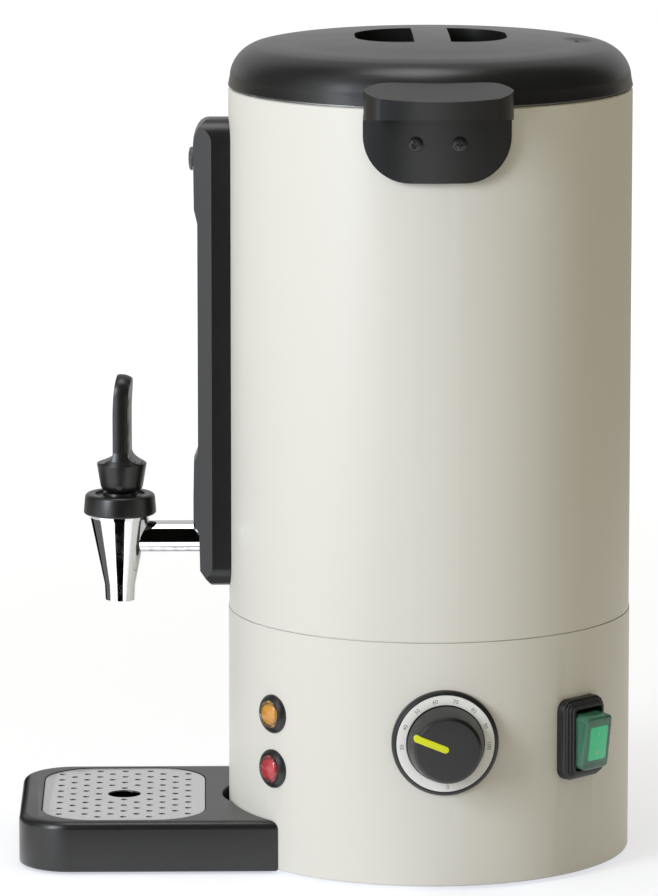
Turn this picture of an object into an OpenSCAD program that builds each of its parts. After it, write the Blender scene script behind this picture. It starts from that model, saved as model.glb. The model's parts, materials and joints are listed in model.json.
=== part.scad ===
// Hot water urn: double-walled vessel on a heated base, with a level gauge
// column, a self-closing tap, a drip tray and a lift-off lid.
// +Z is up and the origin is on the urn's axis at floor level. The tap faces -Y
// and the controls and one handle face +X.

/* [Body] */
// Outside diameter of the base housing
body_d = 230; // [224:1:236]
// Height of the seam between the base housing and the upper shell
seam_z = 141; // [139:1:144]
// Height of the upper shell's rim
rim_z = 440; // [430:1:450]
// Width of the open seam between the base housing and the upper shell
seam_gap = 0.6; // [0.4:0.1:1]
// How far the upper shell's surface lies inside the base housing's
shell_inset = 0.4; // [0.2:0.1:0.8]
// Sheet thickness of the base housing
housing_t = 1.2; // [1:0.1:1.6]
// Sheet thickness of the upper shell
shell_t = 0.8; // [0.6:0.1:1]
// Height of the spigot that centres the upper shell on the base
spigot_h = 9; // [6:1:10]
// Clearance under the base housing's edge
floor_gap = 2; // [1.5:0.1:3]
// Width of the shell's inturned rim
rim_flange_w = 5.5; // [4:0.5:7]

/* [Vessel] */
// Air gap between the vessel and the upper shell
vessel_gap = 9; // [8:0.5:14]
// Wall of the vessel
vessel_t = 0.8; // [0.6:0.1:1]
// Height of the vessel's floor
vessel_z = 150; // [149:0.5:152]
// Radius between the vessel's wall and its floor
vessel_corner_r = 12; // [8:1:16]
// Diameter of the heat spreader under the floor
spreader_d = 164; // [150:1:175]
// Thickness of the heat spreader
spreader_t = 5; // [3:0.5:6]
// Diameter of the heating element's ring
element_d = 120; // [100:1:135]
// Diameter of the element's sheath
element_wire_d = 8; // [6:0.5:10]

/* [Base plate] */
// Thickness of the base plate
plate_t = 1.2; // [1:0.1:2]
// Depth of the base plate inside the housing's lower edge
plate_lift = 0.6; // [0.3:0.1:1]
// Width of the housing's inturned lower flange
base_flange_w = 13; // [10:1:16]
// Distance of a foot's centre from the housing's wall
foot_inset = 25.8; // [24:0.1:32]
// Diameter of a rubber foot
foot_d = 22; // [18:1:26]
// Distance of the base plate's screws from the housing's wall
base_screw_inset = 6.8; // [5.5:0.1:7.5]
// Number of cooling slots in the base plate
slot_count = 12; // [8:1:16]
// Length of a cooling slot
slot_l = 20; // [14:1:26]
// Width of a cooling slot
slot_w = 3; // [2:0.5:3.5]

/* [Lid] */
// How far the lid's edge stands out from the upper shell
lid_overhang = 0.7; // [0.4:0.1:1.2]
// Height of the lid's crown above the rim
lid_h = 30; // [27:0.5:34]
// Height of the straight band at the lid's edge, above the rim
lid_band_h = 8; // [6:0.5:10]
// Fall of the crown from the centre to the start of the shoulder
crown_drop = 4.3; // [3:0.1:6]
// Width of the rounded shoulder
shoulder_w = 23.3; // [20:0.1:26]
// Wall of the lid
lid_t = 3; // [2:0.1:3.6]
// Gap between the lid's edge and the vessel's rim
lid_gap = 0.2; // [0.2:0.1:0.6]
// Size of the grip recess across the bar
grip_w = 86; // [78:1:92]
// Size of the grip recess along the bar
grip_l = 74; // [66:1:80]
// Corner radius of the grip recess
grip_r = 29; // [24:1:32]
// Width of the bar that divides the recess
grip_bar = 20.5; // [18:0.5:23]
// Depth of the finger pockets below the crown
grip_depth = 19; // [16:0.5:20]
// Distance of the vent dimple from the lid's edge
vent_inset = 32.3; // [30:0.1:36]
// Depth of the plug that enters the vessel, below the rim
plug_depth = 8; // [6:0.5:12]
// Gap between the plug and the vessel's wall
plug_gap = 7; // [5:0.5:9]
// Thickness of the lid seal
seal_t = 1.8; // [1.4:0.1:2.4]

/* [Handles] */
// Gap between the lid's edge and the handles
lid_side_gap = 2.8; // [2:0.1:3.5]
// Depth of that gap below the rim
lid_side_drop = 8; // [4:0.5:12]
// Width of a handle
handle_w = 82; // [76:1:88]
// Lowest point of the handle's plate, below the rim
handle_drop = 41; // [36:1:44]
// Radius of the plate's lower corners
handle_corner_r = 28; // [24:1:30]
// Thickness of the plate on the shell
handle_t = 4.4; // [3.5:0.1:5]
// Reach of the grip ledge beyond the upper shell
ledge_reach = 35.4; // [30:0.1:40]
// Corner radius of the grip ledge
ledge_r = 25; // [20:1:30]
// Height of the ledge above the rim, where it meets the lid
ledge_rise = 15; // [13:0.5:16]
// Fall of the ledge's top towards its lip
ledge_fall = 7; // [5:0.5:8]
// Height of the ledge's lip
lip_h = 9.5; // [8:0.5:11]
// Wall of the ledge and its lip
ledge_t = 3.4; // [2.8:0.1:4]
// Distance of the handle screws below the rim
handle_screw_drop = 18.6; // [17:0.1:21]
// Spacing of the two handle screws
handle_screw_pitch = 24.2; // [20:0.1:30]

/* [Dial] */
// Height of the dial's axis
dial_z = 84.7; // [80:0.1:90]
// Azimuth of the dial
dial_az = 2.6; // [0:0.1:5]
// Diameter of the dial's bezel
bezel_d = 60; // [58:0.5:64]
// Height of the bezel over the housing
bezel_h = 3.4; // [3:0.1:4]
// Outside diameter of the scale ring
scale_d = 55; // [52:0.5:56]
// Thickness of the scale ring
scale_t = 0.8; // [0.6:0.1:1.2]
// Diameter of the knob at its base
knob_d = 43; // [40:0.5:45]
// Diameter of the knob's face
knob_face_d = 37.4; // [34:0.2:39]
// Height of the knob
knob_h = 19.2; // [16:0.2:22]
// Angle of the pointer on the scale, from the tap side's horizontal
pointer_angle = 157.9; // [0:0.1:359]
// Width of the pointer
pointer_w = 3.6; // [3:0.1:4.4]

/* [Lamps] */
// Azimuth of the indicator lamps
lamp_az = -51.8; // [-56:0.1:-48]
// Height of the amber lamp
amber_z = 92.2; // [90:0.1:96]
// Height of the red lamp
red_z = 60.6; // [56:0.1:64]
// Diameter of a lamp's bezel
lamp_d = 22; // [20:0.5:24]
// Diameter of a lamp's lens
lens_d = 15.7; // [14:0.1:17]

/* [Switch] */
// Azimuth of the switch
switch_az = 45; // [42:0.5:48]
// Height of the switch's centre
switch_z = 81.5; // [78:0.5:86]
// Width of the switch's frame
frame_w = 37; // [35:0.5:40]
// Height of the switch's frame
frame_h = 46.8; // [45.5:0.1:50]
// Thickness of the frame over the housing
frame_t = 6; // [5:0.1:7]
// Width of the rocker
rocker_w = 23.6; // [22:0.1:24.5]
// Height of the rocker's face
rocker_h = 34; // [32:0.5:35]
// Tilt of the rocker to either side
rocker_tilt = 7; // [5:0.5:9]

/* [Gauge column] */
// Width of the column
column_w = 32; // [30:0.5:34]
// Height of the column
column_h = 269; // [255:1:275]
// Corner radius of the column's outline
column_r = 12.5; // [10:0.5:14]
// Depth of the column's straight side wall
column_side = 9.8; // [8:0.1:11]
// Depth of the column at its recessed front
column_front = 17.8; // [16:0.1:19]
// How far the two bosses stand out from the recessed front
boss_rise = 2.3; // [1.5:0.1:3]
// Wall of the column
column_t = 2.4; // [2:0.1:3]
// Distance of the column's lower end below the tap's axis
column_below = 27.5; // [24:0.5:30]
// Width of the gauge slot
slot_gauge_w = 9; // [7:0.5:11]
// Diameter of the sight tube
tube_d = 12; // [10:0.5:12.5]
// Wall of the sight tube
tube_t = 1.4; // [1:0.1:1.8]
// Diameter of the cap over the column's screw
cap_d = 13.4; // [12:0.1:15]

/* [Tap] */
// Height of the tap's shank
tap_z = 181; // [178:0.5:186]
// Distance of the tap's axis from the upper shell
tap_reach = 62.5; // [58:0.5:68]
// Diameter of the shank
shank_d = 18.6; // [17:0.1:19.4]
// Bore of the shank
shank_bore = 12.4; // [10:0.1:13]
// Diameter of the tap's body at its top
cone_d = 34.1; // [32:0.1:36]
// Diameter of the spout
spout_d = 17.6; // [17:0.1:19]
// Bore of the spout
spout_bore = 13.2; // [11:0.1:13.6]
// Length of the spout below the shank's axis
spout_drop = 36.5; // [34:0.5:40]
// Height of the tap's body above the shank's axis
cone_rise = 16; // [14:0.5:18]
// Largest diameter of the bonnet
bonnet_d = 41.6; // [40:0.1:44]
// Height of the bonnet
bonnet_h = 12.7; // [11:0.1:14]
// Diameter of the valve stem
stem_d = 5; // [4:0.1:5.4]
// Rise of the stem with the lever fully forward
stem_lift = 5; // [4.8:0.1:5.6]
// Diameter of the lever's hub
hub_d = 28.5; // [27:0.1:30]
// Height of the lever above its pin
lever_h = 62.7; // [55:0.1:70]
// Thickness of the lever's blade
blade_t = 9.2; // [8:0.1:10]
// Width of the lever's blade
blade_w = 22; // [18:0.5:26]
// Diameter of the lever's pin
pin_d = 3.2; // [3:0.1:3.6]

/* [Drip tray] */
// Width of the drip tray
tray_w = 150; // [144:1:156]
// Height of the drip tray's top
tray_z = 30.4; // [27:0.2:34]
// Reach of the drip tray in front of the base housing
tray_reach = 120; // [115:1:128]
// Corner radius of the drip tray
tray_r = 30; // [24:1:34]
// Radius along the tray's top edge
tray_edge_r = 4.5; // [3:0.5:6]
// Wall and floor of the tray
tray_t = 2.8; // [2.2:0.1:3.4]
// Gap between the tray and the base housing
tray_gap = 0.5; // [0.3:0.1:1]
// Height of the tray's feet
tray_foot_h = 1.5; // [1.2:0.1:2]
// Width of the grille
grille_w = 134; // [126:1:136]
// Depth of the grille
grille_l = 93; // [88:1:96]
// Corner radius of the grille
grille_r = 30; // [24:1:34]
// Sheet thickness of the grille
grille_t = 0.8; // [0.6:0.1:1]
// Height of the grille's turned-down rim
grille_rim_h = 2.4; // [2:0.1:3]
// Diameter of a drain hole
drain_d = 3.7; // [3:0.1:4.2]
// Pitch of the drain holes in a row
drain_pitch = 14.7; // [13:0.1:17]
// Diameter of the finger hole
finger_d = 19; // [17:0.5:21]

/* [Cable entry] */
// Azimuth of the cable gland
gland_az = 135; // [120:1:150]
// Height of the cable gland
gland_z = 28; // [24:1:34]
// Bore of the cable gland
gland_bore = 7.4; // [7:0.1:8]
// Diameter of the gland's barrel
gland_barrel_d = 14; // [13:0.5:15]

/* [Hidden] */

$fn = 48;
// Facets of the large round pieces
BIG = 144;
// Clearance of pieces that are fixed in or on each other
FIT = 0.2;
// Radial clearance of a running fit
RUN = 0.06;
// Overshoot of a cut
CUT = 1;

PAINT = "#d9d6ca";
PLASTIC = "#2d2d2e";
STEEL = "#c9cacb";
RUBBER = "#1f1f20";

// Body
body_r = body_d / 2;
shell_r = body_r - shell_inset;
shell_ri = shell_r - shell_t;
housing_ri = body_r - housing_t;
spigot_r = shell_ri - FIT;
plate_z0 = floor_gap + plate_lift;
plate_z1 = plate_z0 + plate_t;
base_flange_z = plate_z1 + housing_t;

// Vessel
vessel_ro = shell_ri - vessel_gap;
vessel_r = vessel_ro - vessel_t;
vessel_rim_r = shell_ri - 2 * FIT - lid_t + lid_overhang;
vessel_rim_z = rim_z + vessel_t;
spreader_z1 = vessel_z - vessel_t;
spreader_z0 = spreader_z1 - spreader_t;

// Lid
lid_r = shell_r + lid_overhang;
lid_z0 = vessel_rim_z + lid_gap;
lid_top = rim_z + lid_h;
seal_z = vessel_rim_z + seal_t;
liner_t = 1.5;
liner_z1 = seal_z + liner_t;
plug_r = vessel_r - plug_gap;
plug_z = rim_z - plug_depth;
boss_r = 4;
lid_screw_r = 62;
vent_r = lid_r - vent_inset;
lid_screw_az = [45, 135, 225, 315];

// Dial
bezel_x = body_r + bezel_h;
scale_x = bezel_x - scale_t - 0.2;
bush_r = 5;
shaft_r = 3;
knob_x = scale_x + 0.5;

// Switch
rocker_x = body_r + frame_t - 0.5;
rocker_face = 8;
rocker_end_r = norm([rocker_face, rocker_h / 2]);
switch_cav_w = rocker_w + 0.6;
switch_cav_h = 2 * (rocker_end_r + 0.3);
switch_out_w = switch_cav_w + 2.4;
switch_out_h = switch_cav_h + 2.4;

// Column
column_z0 = tap_z - column_below;
column_z1 = column_z0 + column_h;
column_screw_z = column_z1 - 23.5;
gauge_r = shell_r + 7.9;
slot_z0 = tap_z + 55;
slot_z1 = column_z1 - 64;
tee_rise = 24;
tube_z0 = tap_z + tee_rise + 2;
tube_z1 = column_z1 - 38.5;
seal_r = tube_d / 2 + 1;
// How far the column's front lies back round the tap's shank
lower_step = 1;

// Tap
tap_y = -(shell_r + tap_reach);
shank_r = shank_d / 2;
cone_z1 = tap_z + cone_rise;
spout_z0 = tap_z - spout_drop;
spout_z1 = spout_z0 + 9;
seat_z = spout_z0 + 12;
bonnet_z0 = cone_z1 - 3.2;
bonnet_z1 = bonnet_z0 + bonnet_h;
pad_z = bonnet_z1 + 0.7;
hub_z0 = pad_z + 0.4;
lever_fwd = 40;
hub_r0 = hub_d / 2 - 1.9;
hub_round = hub_r0 - stem_lift / sin(lever_fwd);
pin_z = hub_z0 + 4;
pin_r = pin_d / 2;
eye_r = pin_r + 2;
eye_w = 6;
stem_r = stem_d / 2;
cup_z0 = seat_z + 0.7;
cup_z1 = cup_z0 + 8;
spring_z1 = cone_z1 + 3.2;
shoulder_y = -(shell_r + column_front - lower_step - column_t - FIT);
shoulder_t = 1.2;
shoulder_r = shank_r + 1.4;

// Tray
tray_y0 = -(body_r + tray_reach);
tray_bottom = tray_foot_h;
grille_y = tray_y0 + grille_l / 2 + 13;
grille_z = tray_z - 0.3;
basin_inset = 3;

// ---------------------------------------------------------------- helpers

// Points on an arc about c, from angle a0 to a1
function arc(c, r, a0, a1, n = 8) =
    [for (i = [0:n]) c + r * [cos(a0 + (a1 - a0) * i / n), sin(a0 + (a1 - a0) * i / n)]];

// Rectangle with round corners, centred
module rounded(w, h, r) {
    square([w - 2 * r, h], center = true);
    square([w, h - 2 * r], center = true);
    for (x = [-1, 1], y = [-1, 1])
        translate([x * (w / 2 - r), y * (h / 2 - r)]) circle(r = r);
}

// Cylinder along +Z between two heights
module upright(r, z0, z1) {
    translate([0, 0, z0]) cylinder(r = r, h = z1 - z0);
}

// Children with their +Z turned outwards at an azimuth and a height;
// their +Y points up and their +X to the right of someone facing the piece
module facing(az, z) {
    rotate([0, 0, az]) translate([0, 0, z]) rotate([90, 0, 90]) children();
}

// Everything outside a vertical cylinder, kept by cutting the cylinder away
module outside(r) {
    difference() {
        children();
        translate([0, 0, -CUT]) cylinder(r = r, h = lid_top + 2 * CUT, $fn = BIG);
    }
}

// Everything inside a vertical cylinder
module inside(r) {
    intersection() {
        children();
        translate([0, 0, -CUT]) cylinder(r = r, h = lid_top + 2 * CUT, $fn = BIG);
    }
}

// Tube swept with n sides along a list of points
module swept(path, r, n = 6) {
    last = len(path) - 1;
    function dir(i) = let (d = path[min(i + 1, last)] - path[max(i - 1, 0)]) d / norm(d);
    function side(d) = let (s = cross(d, [0, 0, 1])) s / norm(s);
    points = [for (i = [0:last]) let (d = dir(i), s = side(d), t = cross(s, d))
        for (k = [0:n - 1]) path[i] + r * (s * cos(360 * k / n) + t * sin(360 * k / n))];
    sides = [for (i = [0:last - 1], k = [0:n - 1])
        let (a = i * n + k, b = i * n + (k + 1) % n) each [[a, b, b + n], [a, b + n, a + n]]];
    first_end = [for (k = [n - 1:-1:0]) k];
    last_end = [for (k = [0:n - 1]) last * n + k];
    polyhedron(points, concat(sides, [first_end, last_end]));
}

// ---------------------------------------------------------------- base

module base_housing() {
    flange_r = housing_ri - base_flange_w;
    color(PAINT) difference() {
        rotate_extrude($fn = BIG) polygon([
            [body_r - 1, floor_gap], [body_r - 0.3, floor_gap + 0.3], [body_r, floor_gap + 1],
            [body_r, seam_z], [spigot_r, seam_z],
            [spigot_r, seam_z + spigot_h], [spigot_r - housing_t, seam_z + spigot_h],
            [spigot_r - housing_t, seam_z - 5], [housing_ri, seam_z - 7],
            [housing_ri, base_flange_z], [flange_r, base_flange_z],
            [flange_r, plate_z1], [housing_ri, plate_z1], [housing_ri, floor_gap]]);
        facing(dial_az, dial_z) upright(bush_r + FIT, body_r - 10, body_r + 5);
        for (z = [amber_z, red_z])
            facing(lamp_az, z) upright(lamp_barrel_r() + FIT, body_r - 10, body_r + 5);
        facing(switch_az, switch_z) translate([0, 0, body_r - 20])
            linear_extrude(40) square([switch_out_w + 2 * FIT, switch_out_h + 2 * FIT], center = true);
        facing(gland_az, gland_z) upright(gland_barrel_d / 2 + FIT, body_r - 10, body_r + 5);
        base_screw_places() cylinder(r = 1.6, h = 40, center = true);
    }
}

function lamp_barrel_r() = lens_d / 2 - 1.6;

module base_screw_places() {
    for (a = [20:90:290])
        rotate([0, 0, a]) translate([housing_ri - base_screw_inset, 0, plate_z0]) children();
}

module foot_places() {
    for (a = [45:90:315]) rotate([0, 0, a]) translate([housing_ri - foot_inset, 0, 0]) children();
}

cutout_pos = [-70, 0, 0];

module base_plate() {
    color(STEEL) difference() {
        upright(housing_ri - FIT, plate_z0, plate_z1, $fn = BIG);
        foot_places() cylinder(r = 3.2, h = 20, center = true);
        base_screw_places() cylinder(r = 1.8, h = 20, center = true);
        translate(cutout_pos) cylinder(r = 5 + FIT, h = 20, center = true);
        for (i = [0:slot_count - 1]) rotate([0, 0, 15 + 360 * i / slot_count])
            translate([34, 0, 0]) linear_extrude(20, center = true) {
                translate([slot_l / 2, 0]) square([slot_l, slot_w], center = true);
                circle(r = slot_w / 2);
                translate([slot_l, 0]) circle(r = slot_w / 2);
            }
    }
}

module rubber_feet() {
    color(RUBBER) foot_places() rotate_extrude() polygon([
        [0, 0.8], [foot_d / 2 - 4, 0.8], [foot_d / 2 - 3.2, 0], [foot_d / 2 - 0.6, 0],
        [foot_d / 2, 0.6], [foot_d / 2 - 0.8, plate_z0], [3, plate_z0], [3, plate_z1],
        [4.6, plate_z1], [3.6, plate_z1 + 2.6], [0, plate_z1 + 2.6]]);
}

module base_screws() {
    color(STEEL) base_screw_places() difference() {
        union() {
            translate([0, 0, -1.5]) cylinder(r1 = 2.4, r2 = 3, h = 1.5);
            cylinder(r = 1.5, h = plate_t + housing_t + 3);
        }
        translate([0, 0, -1.5]) cube([3.2, 0.6, 1.4], center = true);
        translate([0, 0, -1.5]) cube([0.6, 3.2, 1.4], center = true);
    }
}

// ---------------------------------------------------------------- shell and vessel

module shank_hole(clear) {
    translate([0, 0, tap_z]) rotate([90, 0, 0])
        cylinder(r = shank_r + clear, h = body_r + 20);
}

module handle_screw_places() {
    for (side = [0, 180], k = [-1, 1])
        facing(side + k * asin(handle_screw_pitch / 2 / (shell_r + handle_t)),
            rim_z - handle_screw_drop) children();
}

module outer_shell() {
    color(PAINT) difference() {
        rotate_extrude($fn = BIG) polygon(concat(
            [[shell_ri, seam_z + seam_gap], [shell_r, seam_z + seam_gap]],
            arc([shell_r - 1.6, rim_z - 1.6], 1.6, 0, 90, 4),
            [[shell_r - rim_flange_w, rim_z], [shell_r - rim_flange_w, rim_z - shell_t],
             [shell_ri, rim_z - shell_t]]));
        shank_hole(FIT);
        handle_screw_places() upright(2.2, shell_r - 5, shell_r + 5);
        facing(-90, column_screw_z) upright(2.2, shell_r - 5, shell_r + 5);
    }
}

module inner_vessel() {
    ri = vessel_corner_r;
    ro = vessel_corner_r + vessel_t;
    color(STEEL) difference() {
        rotate_extrude($fn = BIG) polygon(concat(
            [[0, vessel_z - vessel_t]],
            arc([vessel_ro - ro, vessel_z - vessel_t + ro], ro, -90, 0),
            [[vessel_ro, rim_z], [vessel_rim_r, rim_z], [vessel_rim_r, vessel_rim_z],
             [vessel_r, vessel_rim_z]],
            arc([vessel_r - ri, vessel_z + ri], ri, 0, -90),
            [[0, vessel_z]]));
        shank_hole(FIT);
    }
}

module heat_spreader() {
    color("silver") upright(spreader_d / 2, spreader_z0, spreader_z1, $fn = BIG);
}

element_z = spreader_z0 - element_wire_d / 2 - 0.1;
// Angle between the element's two ends
element_gap = 40;
element_leg = 22;
element_pin = 8;

module heating_element() {
    color("dimgray") rotate([0, 0, dial_az + element_gap / 2]) {
        translate([0, 0, element_z])
            rotate_extrude(angle = 360 - element_gap)
                translate([element_d / 2, 0]) circle(d = element_wire_d);
        for (a = [0, 360 - element_gap]) rotate([0, 0, a])
            translate([element_d / 2, 0, element_z - element_leg]) {
                cylinder(d = element_wire_d - 1.2, h = element_leg);
                translate([0, 0, -element_pin]) cylinder(d = 3, h = element_pin + CUT);
            }
    }
}

// ---------------------------------------------------------------- electrical parts

thermostat_w = 34;
thermostat_h = 42;
thermostat_l = 28;
thermostat_x = sqrt(pow(housing_ri, 2) - pow(thermostat_w / 2, 2)) - 0.1;

module thermostat_body() {
    color("dimgray") facing(dial_az, dial_z) difference() {
        union() {
            translate([0, 0, thermostat_x - thermostat_l])
                linear_extrude(thermostat_l) rounded(thermostat_w, thermostat_h, 3);
            upright(bush_r, thermostat_x - CUT, scale_x - 0.2);
        }
        upright(shaft_r + RUN, thermostat_x - 12, scale_x + CUT);
    }
}

module thermostat_shaft() {
    color(STEEL) facing(dial_az, dial_z) difference() {
        upright(shaft_r, thermostat_x - 11.5, knob_x + 14);
        translate([-5, shaft_r - 0.8, scale_x + 2]) cube([10, 5, 20]);
    }
}

capillary_r = 1;
bulb_r = 3;
bulb_l = 46;

module thermostat_bulb() {
    bend = 8;
    back = thermostat_x - thermostat_l;
    bulb_z = spreader_z0 - bulb_r - 0.1;
    rise_x = back - 4 - bend;
    color("peru") rotate([0, 0, dial_az]) {
        translate([back, 0, dial_z]) rotate([0, -90, 0]) cylinder(r = capillary_r, h = 4);
        translate([back - 4, 0, dial_z + bend]) rotate([90, 0, 0])
            rotate([0, 0, 180]) rotate_extrude(angle = 90)
                translate([bend, 0]) circle(r = capillary_r);
        translate([rise_x, 0, dial_z + bend])
            cylinder(r = capillary_r, h = bulb_z - bend - dial_z - bend);
        translate([rise_x - bend, 0, bulb_z - bend]) rotate([90, 0, 0])
            rotate_extrude(angle = 90) translate([bend, 0]) circle(r = capillary_r);
        translate([rise_x - bend, 0, bulb_z]) rotate([0, -90, 0]) cylinder(r = bulb_r, h = bulb_l);
    }
}

button_r = 2.5;

module boil_dry_cutout() {
    color("tan") translate(cutout_pos) difference() {
        union() {
            upright(9, plate_z1, plate_z1 + 22);
            upright(5, plate_z0 - 1, plate_z1 + 1);
        }
        upright(button_r + RUN, 0, 13);
    }
}

module reset_button() {
    color("firebrick") translate(cutout_pos) {
        upright(button_r, plate_z0 - 1.4, 10);
    }
}

module terminal_block() {
    color("ivory") translate([-34, 44, plate_z1]) difference() {
        linear_extrude(20) rounded(38, 20, 2);
        for (x = [-12, 0, 12]) translate([x, 0, 8]) cylinder(r = 3, h = 20);
    }
}

gland_flange = 8;
gland_thread = 12;

module cable_gland() {
    flat = sqrt(pow(body_r, 2) - pow(10, 2));
    color(PLASTIC) facing(gland_az, gland_z) difference() {
        union() {
            rotate_extrude() polygon([
                [0, flat - gland_thread], [gland_barrel_d / 2, flat - gland_thread],
                [gland_barrel_d / 2, body_r + 0.1], [10, body_r + 0.1], [10, body_r + 2.4],
                [8.4, body_r + 3.4], [6.2, body_r + gland_flange], [0, body_r + gland_flange]]);
        }
        upright(gland_bore / 2, 0, body_r + 20);
    }
}

module gland_nut() {
    back = sqrt(pow(housing_ri, 2) - pow(11, 2)) - 0.1;
    color(PLASTIC) facing(gland_az, gland_z) difference() {
        translate([0, 0, back - 5]) cylinder(r = 11, h = 5, $fn = 6);
        upright(gland_barrel_d / 2 + RUN, 0, body_r);
    }
}

// ---------------------------------------------------------------- dial

module dial_bezel() {
    lip_r = scale_d / 2 + FIT;
    color(PLASTIC) outside(body_r + 0.05) facing(dial_az, dial_z) rotate_extrude(convexity = 4)
        polygon([[bush_r + FIT, body_r - 8], [bezel_d / 2, body_r - 8],
            [bezel_d / 2, bezel_x - 1.4], [bezel_d / 2 - 0.4, bezel_x - 0.5],
            [bezel_d / 2 - 1.2, bezel_x], [lip_r, bezel_x], [lip_r, scale_x],
            [bush_r + FIT, scale_x]]);
}

module dial_scale_ring() {
    color(STEEL) facing(dial_az, dial_z) rotate_extrude() polygon([
        [knob_d / 2 + 0.5, scale_x], [scale_d / 2, scale_x],
        [scale_d / 2, scale_x + scale_t], [knob_d / 2 + 0.8, scale_x + scale_t],
        [knob_d / 2 + 0.5, scale_x + scale_t - 0.3]]);
}

// Outline of the knob, grown by g, as a solid of revolution along +Z
module knob_form(g) {
    top = knob_x + knob_h + g;
    edge = 2.2;
    rotate_extrude($fn = 96) polygon(concat(
        [[0, knob_x], [knob_d / 2 + g, knob_x], [knob_d / 2 + g, knob_x + 1.6]],
        arc([knob_face_d / 2 + g - edge, top - edge], edge, 8, 90, 6),
        [[knob_face_d / 4, top + 0.15], [0, top + 0.3]]));
}

module knob() {
    color(PLASTIC) facing(dial_az, dial_z) difference() {
        knob_form(0);
        rotate_extrude() polygon([
            [7, knob_x - CUT], [knob_d / 2 - 2, knob_x - CUT], [knob_d / 2 - 2.4, knob_x + 4],
            [knob_face_d / 2 - 2.4, knob_x + knob_h - 4], [7, knob_x + knob_h - 4]]);
        difference() {
            upright(shaft_r + 0.05, knob_x - CUT, knob_x + 14.2);
            translate([-5, shaft_r - 0.75, scale_x + 2]) cube([10, 5, 20]);
        }
    }
}

module knob_pointer() {
    reach = knob_d / 2 - 1;
    color("yellow") facing(dial_az, dial_z) difference() {
        intersection() {
            knob_form(0.5);
            rotate([0, 0, pointer_angle]) translate([0, 0, knob_x + knob_h - 7])
                linear_extrude(12) {
                    translate([reach / 2, 0]) square([reach, pointer_w], center = true);
                    circle(d = pointer_w);
                }
        }
        knob_form(0);
    }
}

// ---------------------------------------------------------------- lamps

lamp_x = body_r + 3.2;
lens_x = body_r + 1.4;

module lamp_places() {
    for (z = [amber_z, red_z]) facing(lamp_az, z) children();
}

module lamp_bezels() {
    hole = lens_d / 2 + 0.1;
    color(PLASTIC) outside(body_r + 0.05) lamp_places() rotate_extrude() polygon(concat(
        [[lamp_barrel_r() + 0.1, body_r - 3], [lamp_d / 2, body_r - 3]],
        arc([lamp_d / 2 - 2.2, lamp_x - 2.2], 2.2, 0, 90, 5),
        [[hole, lamp_x], [hole, lens_x], [lamp_barrel_r() + 0.1, lens_x]]));
}

module lens(z) {
    rise = 2.6;
    r = lens_d / 2;
    facing(lamp_az, z) rotate_extrude() polygon([
        [0, lens_x], [r, lens_x], [r, lamp_x - 0.2], [r - 1, lamp_x + rise * 0.5],
        [r - 3, lamp_x + rise * 0.85], [0, lamp_x + rise]]);
}

module amber_lens() { color("orange") lens(amber_z); }

module red_lens() { color("red") lens(red_z); }

lamp_nut_r = 9;
lamp_depth = 30;
lamp_tab = 8;

module lamp_bodies() {
    nut_x = sqrt(pow(housing_ri, 2) - pow(lamp_nut_r, 2)) - 0.1;
    tab_t = 0.8;
    color(RUBBER) lamp_places() {
        upright(lamp_barrel_r(), body_r - lamp_depth, lens_x);
        translate([0, 0, nut_x - 3]) cylinder(r = lamp_nut_r, h = 3, $fn = 6);
        for (y = [-3, 3]) translate([-tab_t / 2, y - 2, body_r - lamp_depth - lamp_tab])
            cube([tab_t, 4, lamp_tab + CUT]);
    }
}

// ---------------------------------------------------------------- switch

module switch_body() {
    depth = 34;
    color(RUBBER) facing(switch_az, switch_z) difference() {
        union() {
            translate([0, 0, rocker_x - depth])
                linear_extrude(depth + 0.4) square([switch_out_w, switch_out_h], center = true);
            for (y = [-10, 0, 10]) translate([-3, y - 0.4, rocker_x - depth - 8])
                cube([6, 0.8, 9]);
        }
        translate([0, 0, rocker_x - 14])
            linear_extrude(20) square([switch_cav_w, switch_cav_h], center = true);
        translate([0, 0, rocker_x - 3]) rotate([0, 90, 0])
            cylinder(r = 1.5 + RUN, h = switch_out_w + 2, center = true);
    }
}

module switch_frame() {
    color(PLASTIC) outside(body_r + 0.05) facing(switch_az, switch_z) difference() {
        union() {
            translate([0, 0, body_r - 3]) linear_extrude(frame_t + 2) rounded(frame_w, frame_h, 6);
            translate([0, 0, body_r - 3]) linear_extrude(frame_t + 3)
                rounded(frame_w - 2, frame_h - 2, 5);
        }
        translate([0, 0, body_r - 10]) linear_extrude(40)
            square([switch_out_w + 2 * FIT, switch_out_h + 2 * FIT], center = true);
    }
}

module switch_boot() {
    window_w = rocker_w + 0.6;
    window_h = switch_cav_h;
    color(RUBBER) facing(switch_az, switch_z) translate([0, 0, body_r + frame_t]) difference() {
        for (step = [0:2])
            linear_extrude(1.4 + 1.5 * step)
                rounded(switch_out_w + 6.4 - 2.4 * step, switch_out_h + 3 - 1.1 * step, 3.6);
        translate([0, 0, -CUT]) linear_extrude(20) square([window_w, window_h], center = true);
    }
}

module rocker() {
    h = rocker_h / 2;
    color("seagreen") facing(switch_az, switch_z) translate([0, 0, rocker_x - 3])
        rotate([rocker_tilt, 0, 0]) {
            rotate([0, 90, 0]) cylinder(r = 1.5, h = switch_out_w - 0.2, center = true);
            intersection() {
                rotate([0, 90, 0]) cylinder(r = rocker_end_r + 1.6, h = rocker_w, center = true);
                rotate([90, 0, 90]) linear_extrude(rocker_w, center = true) polygon([
                    [-h + 4, -5], [h - 4, -5], [h, 2], [h, rocker_face + 3 - 0.8],
                    [h - 0.8, rocker_face + 3], [0, rocker_face + 1.4],
                    [-h + 0.8, rocker_face + 3], [-h, rocker_face + 3 - 0.8], [-h, 2]]);
            }
        }
}

// ---------------------------------------------------------------- gauge column

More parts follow.
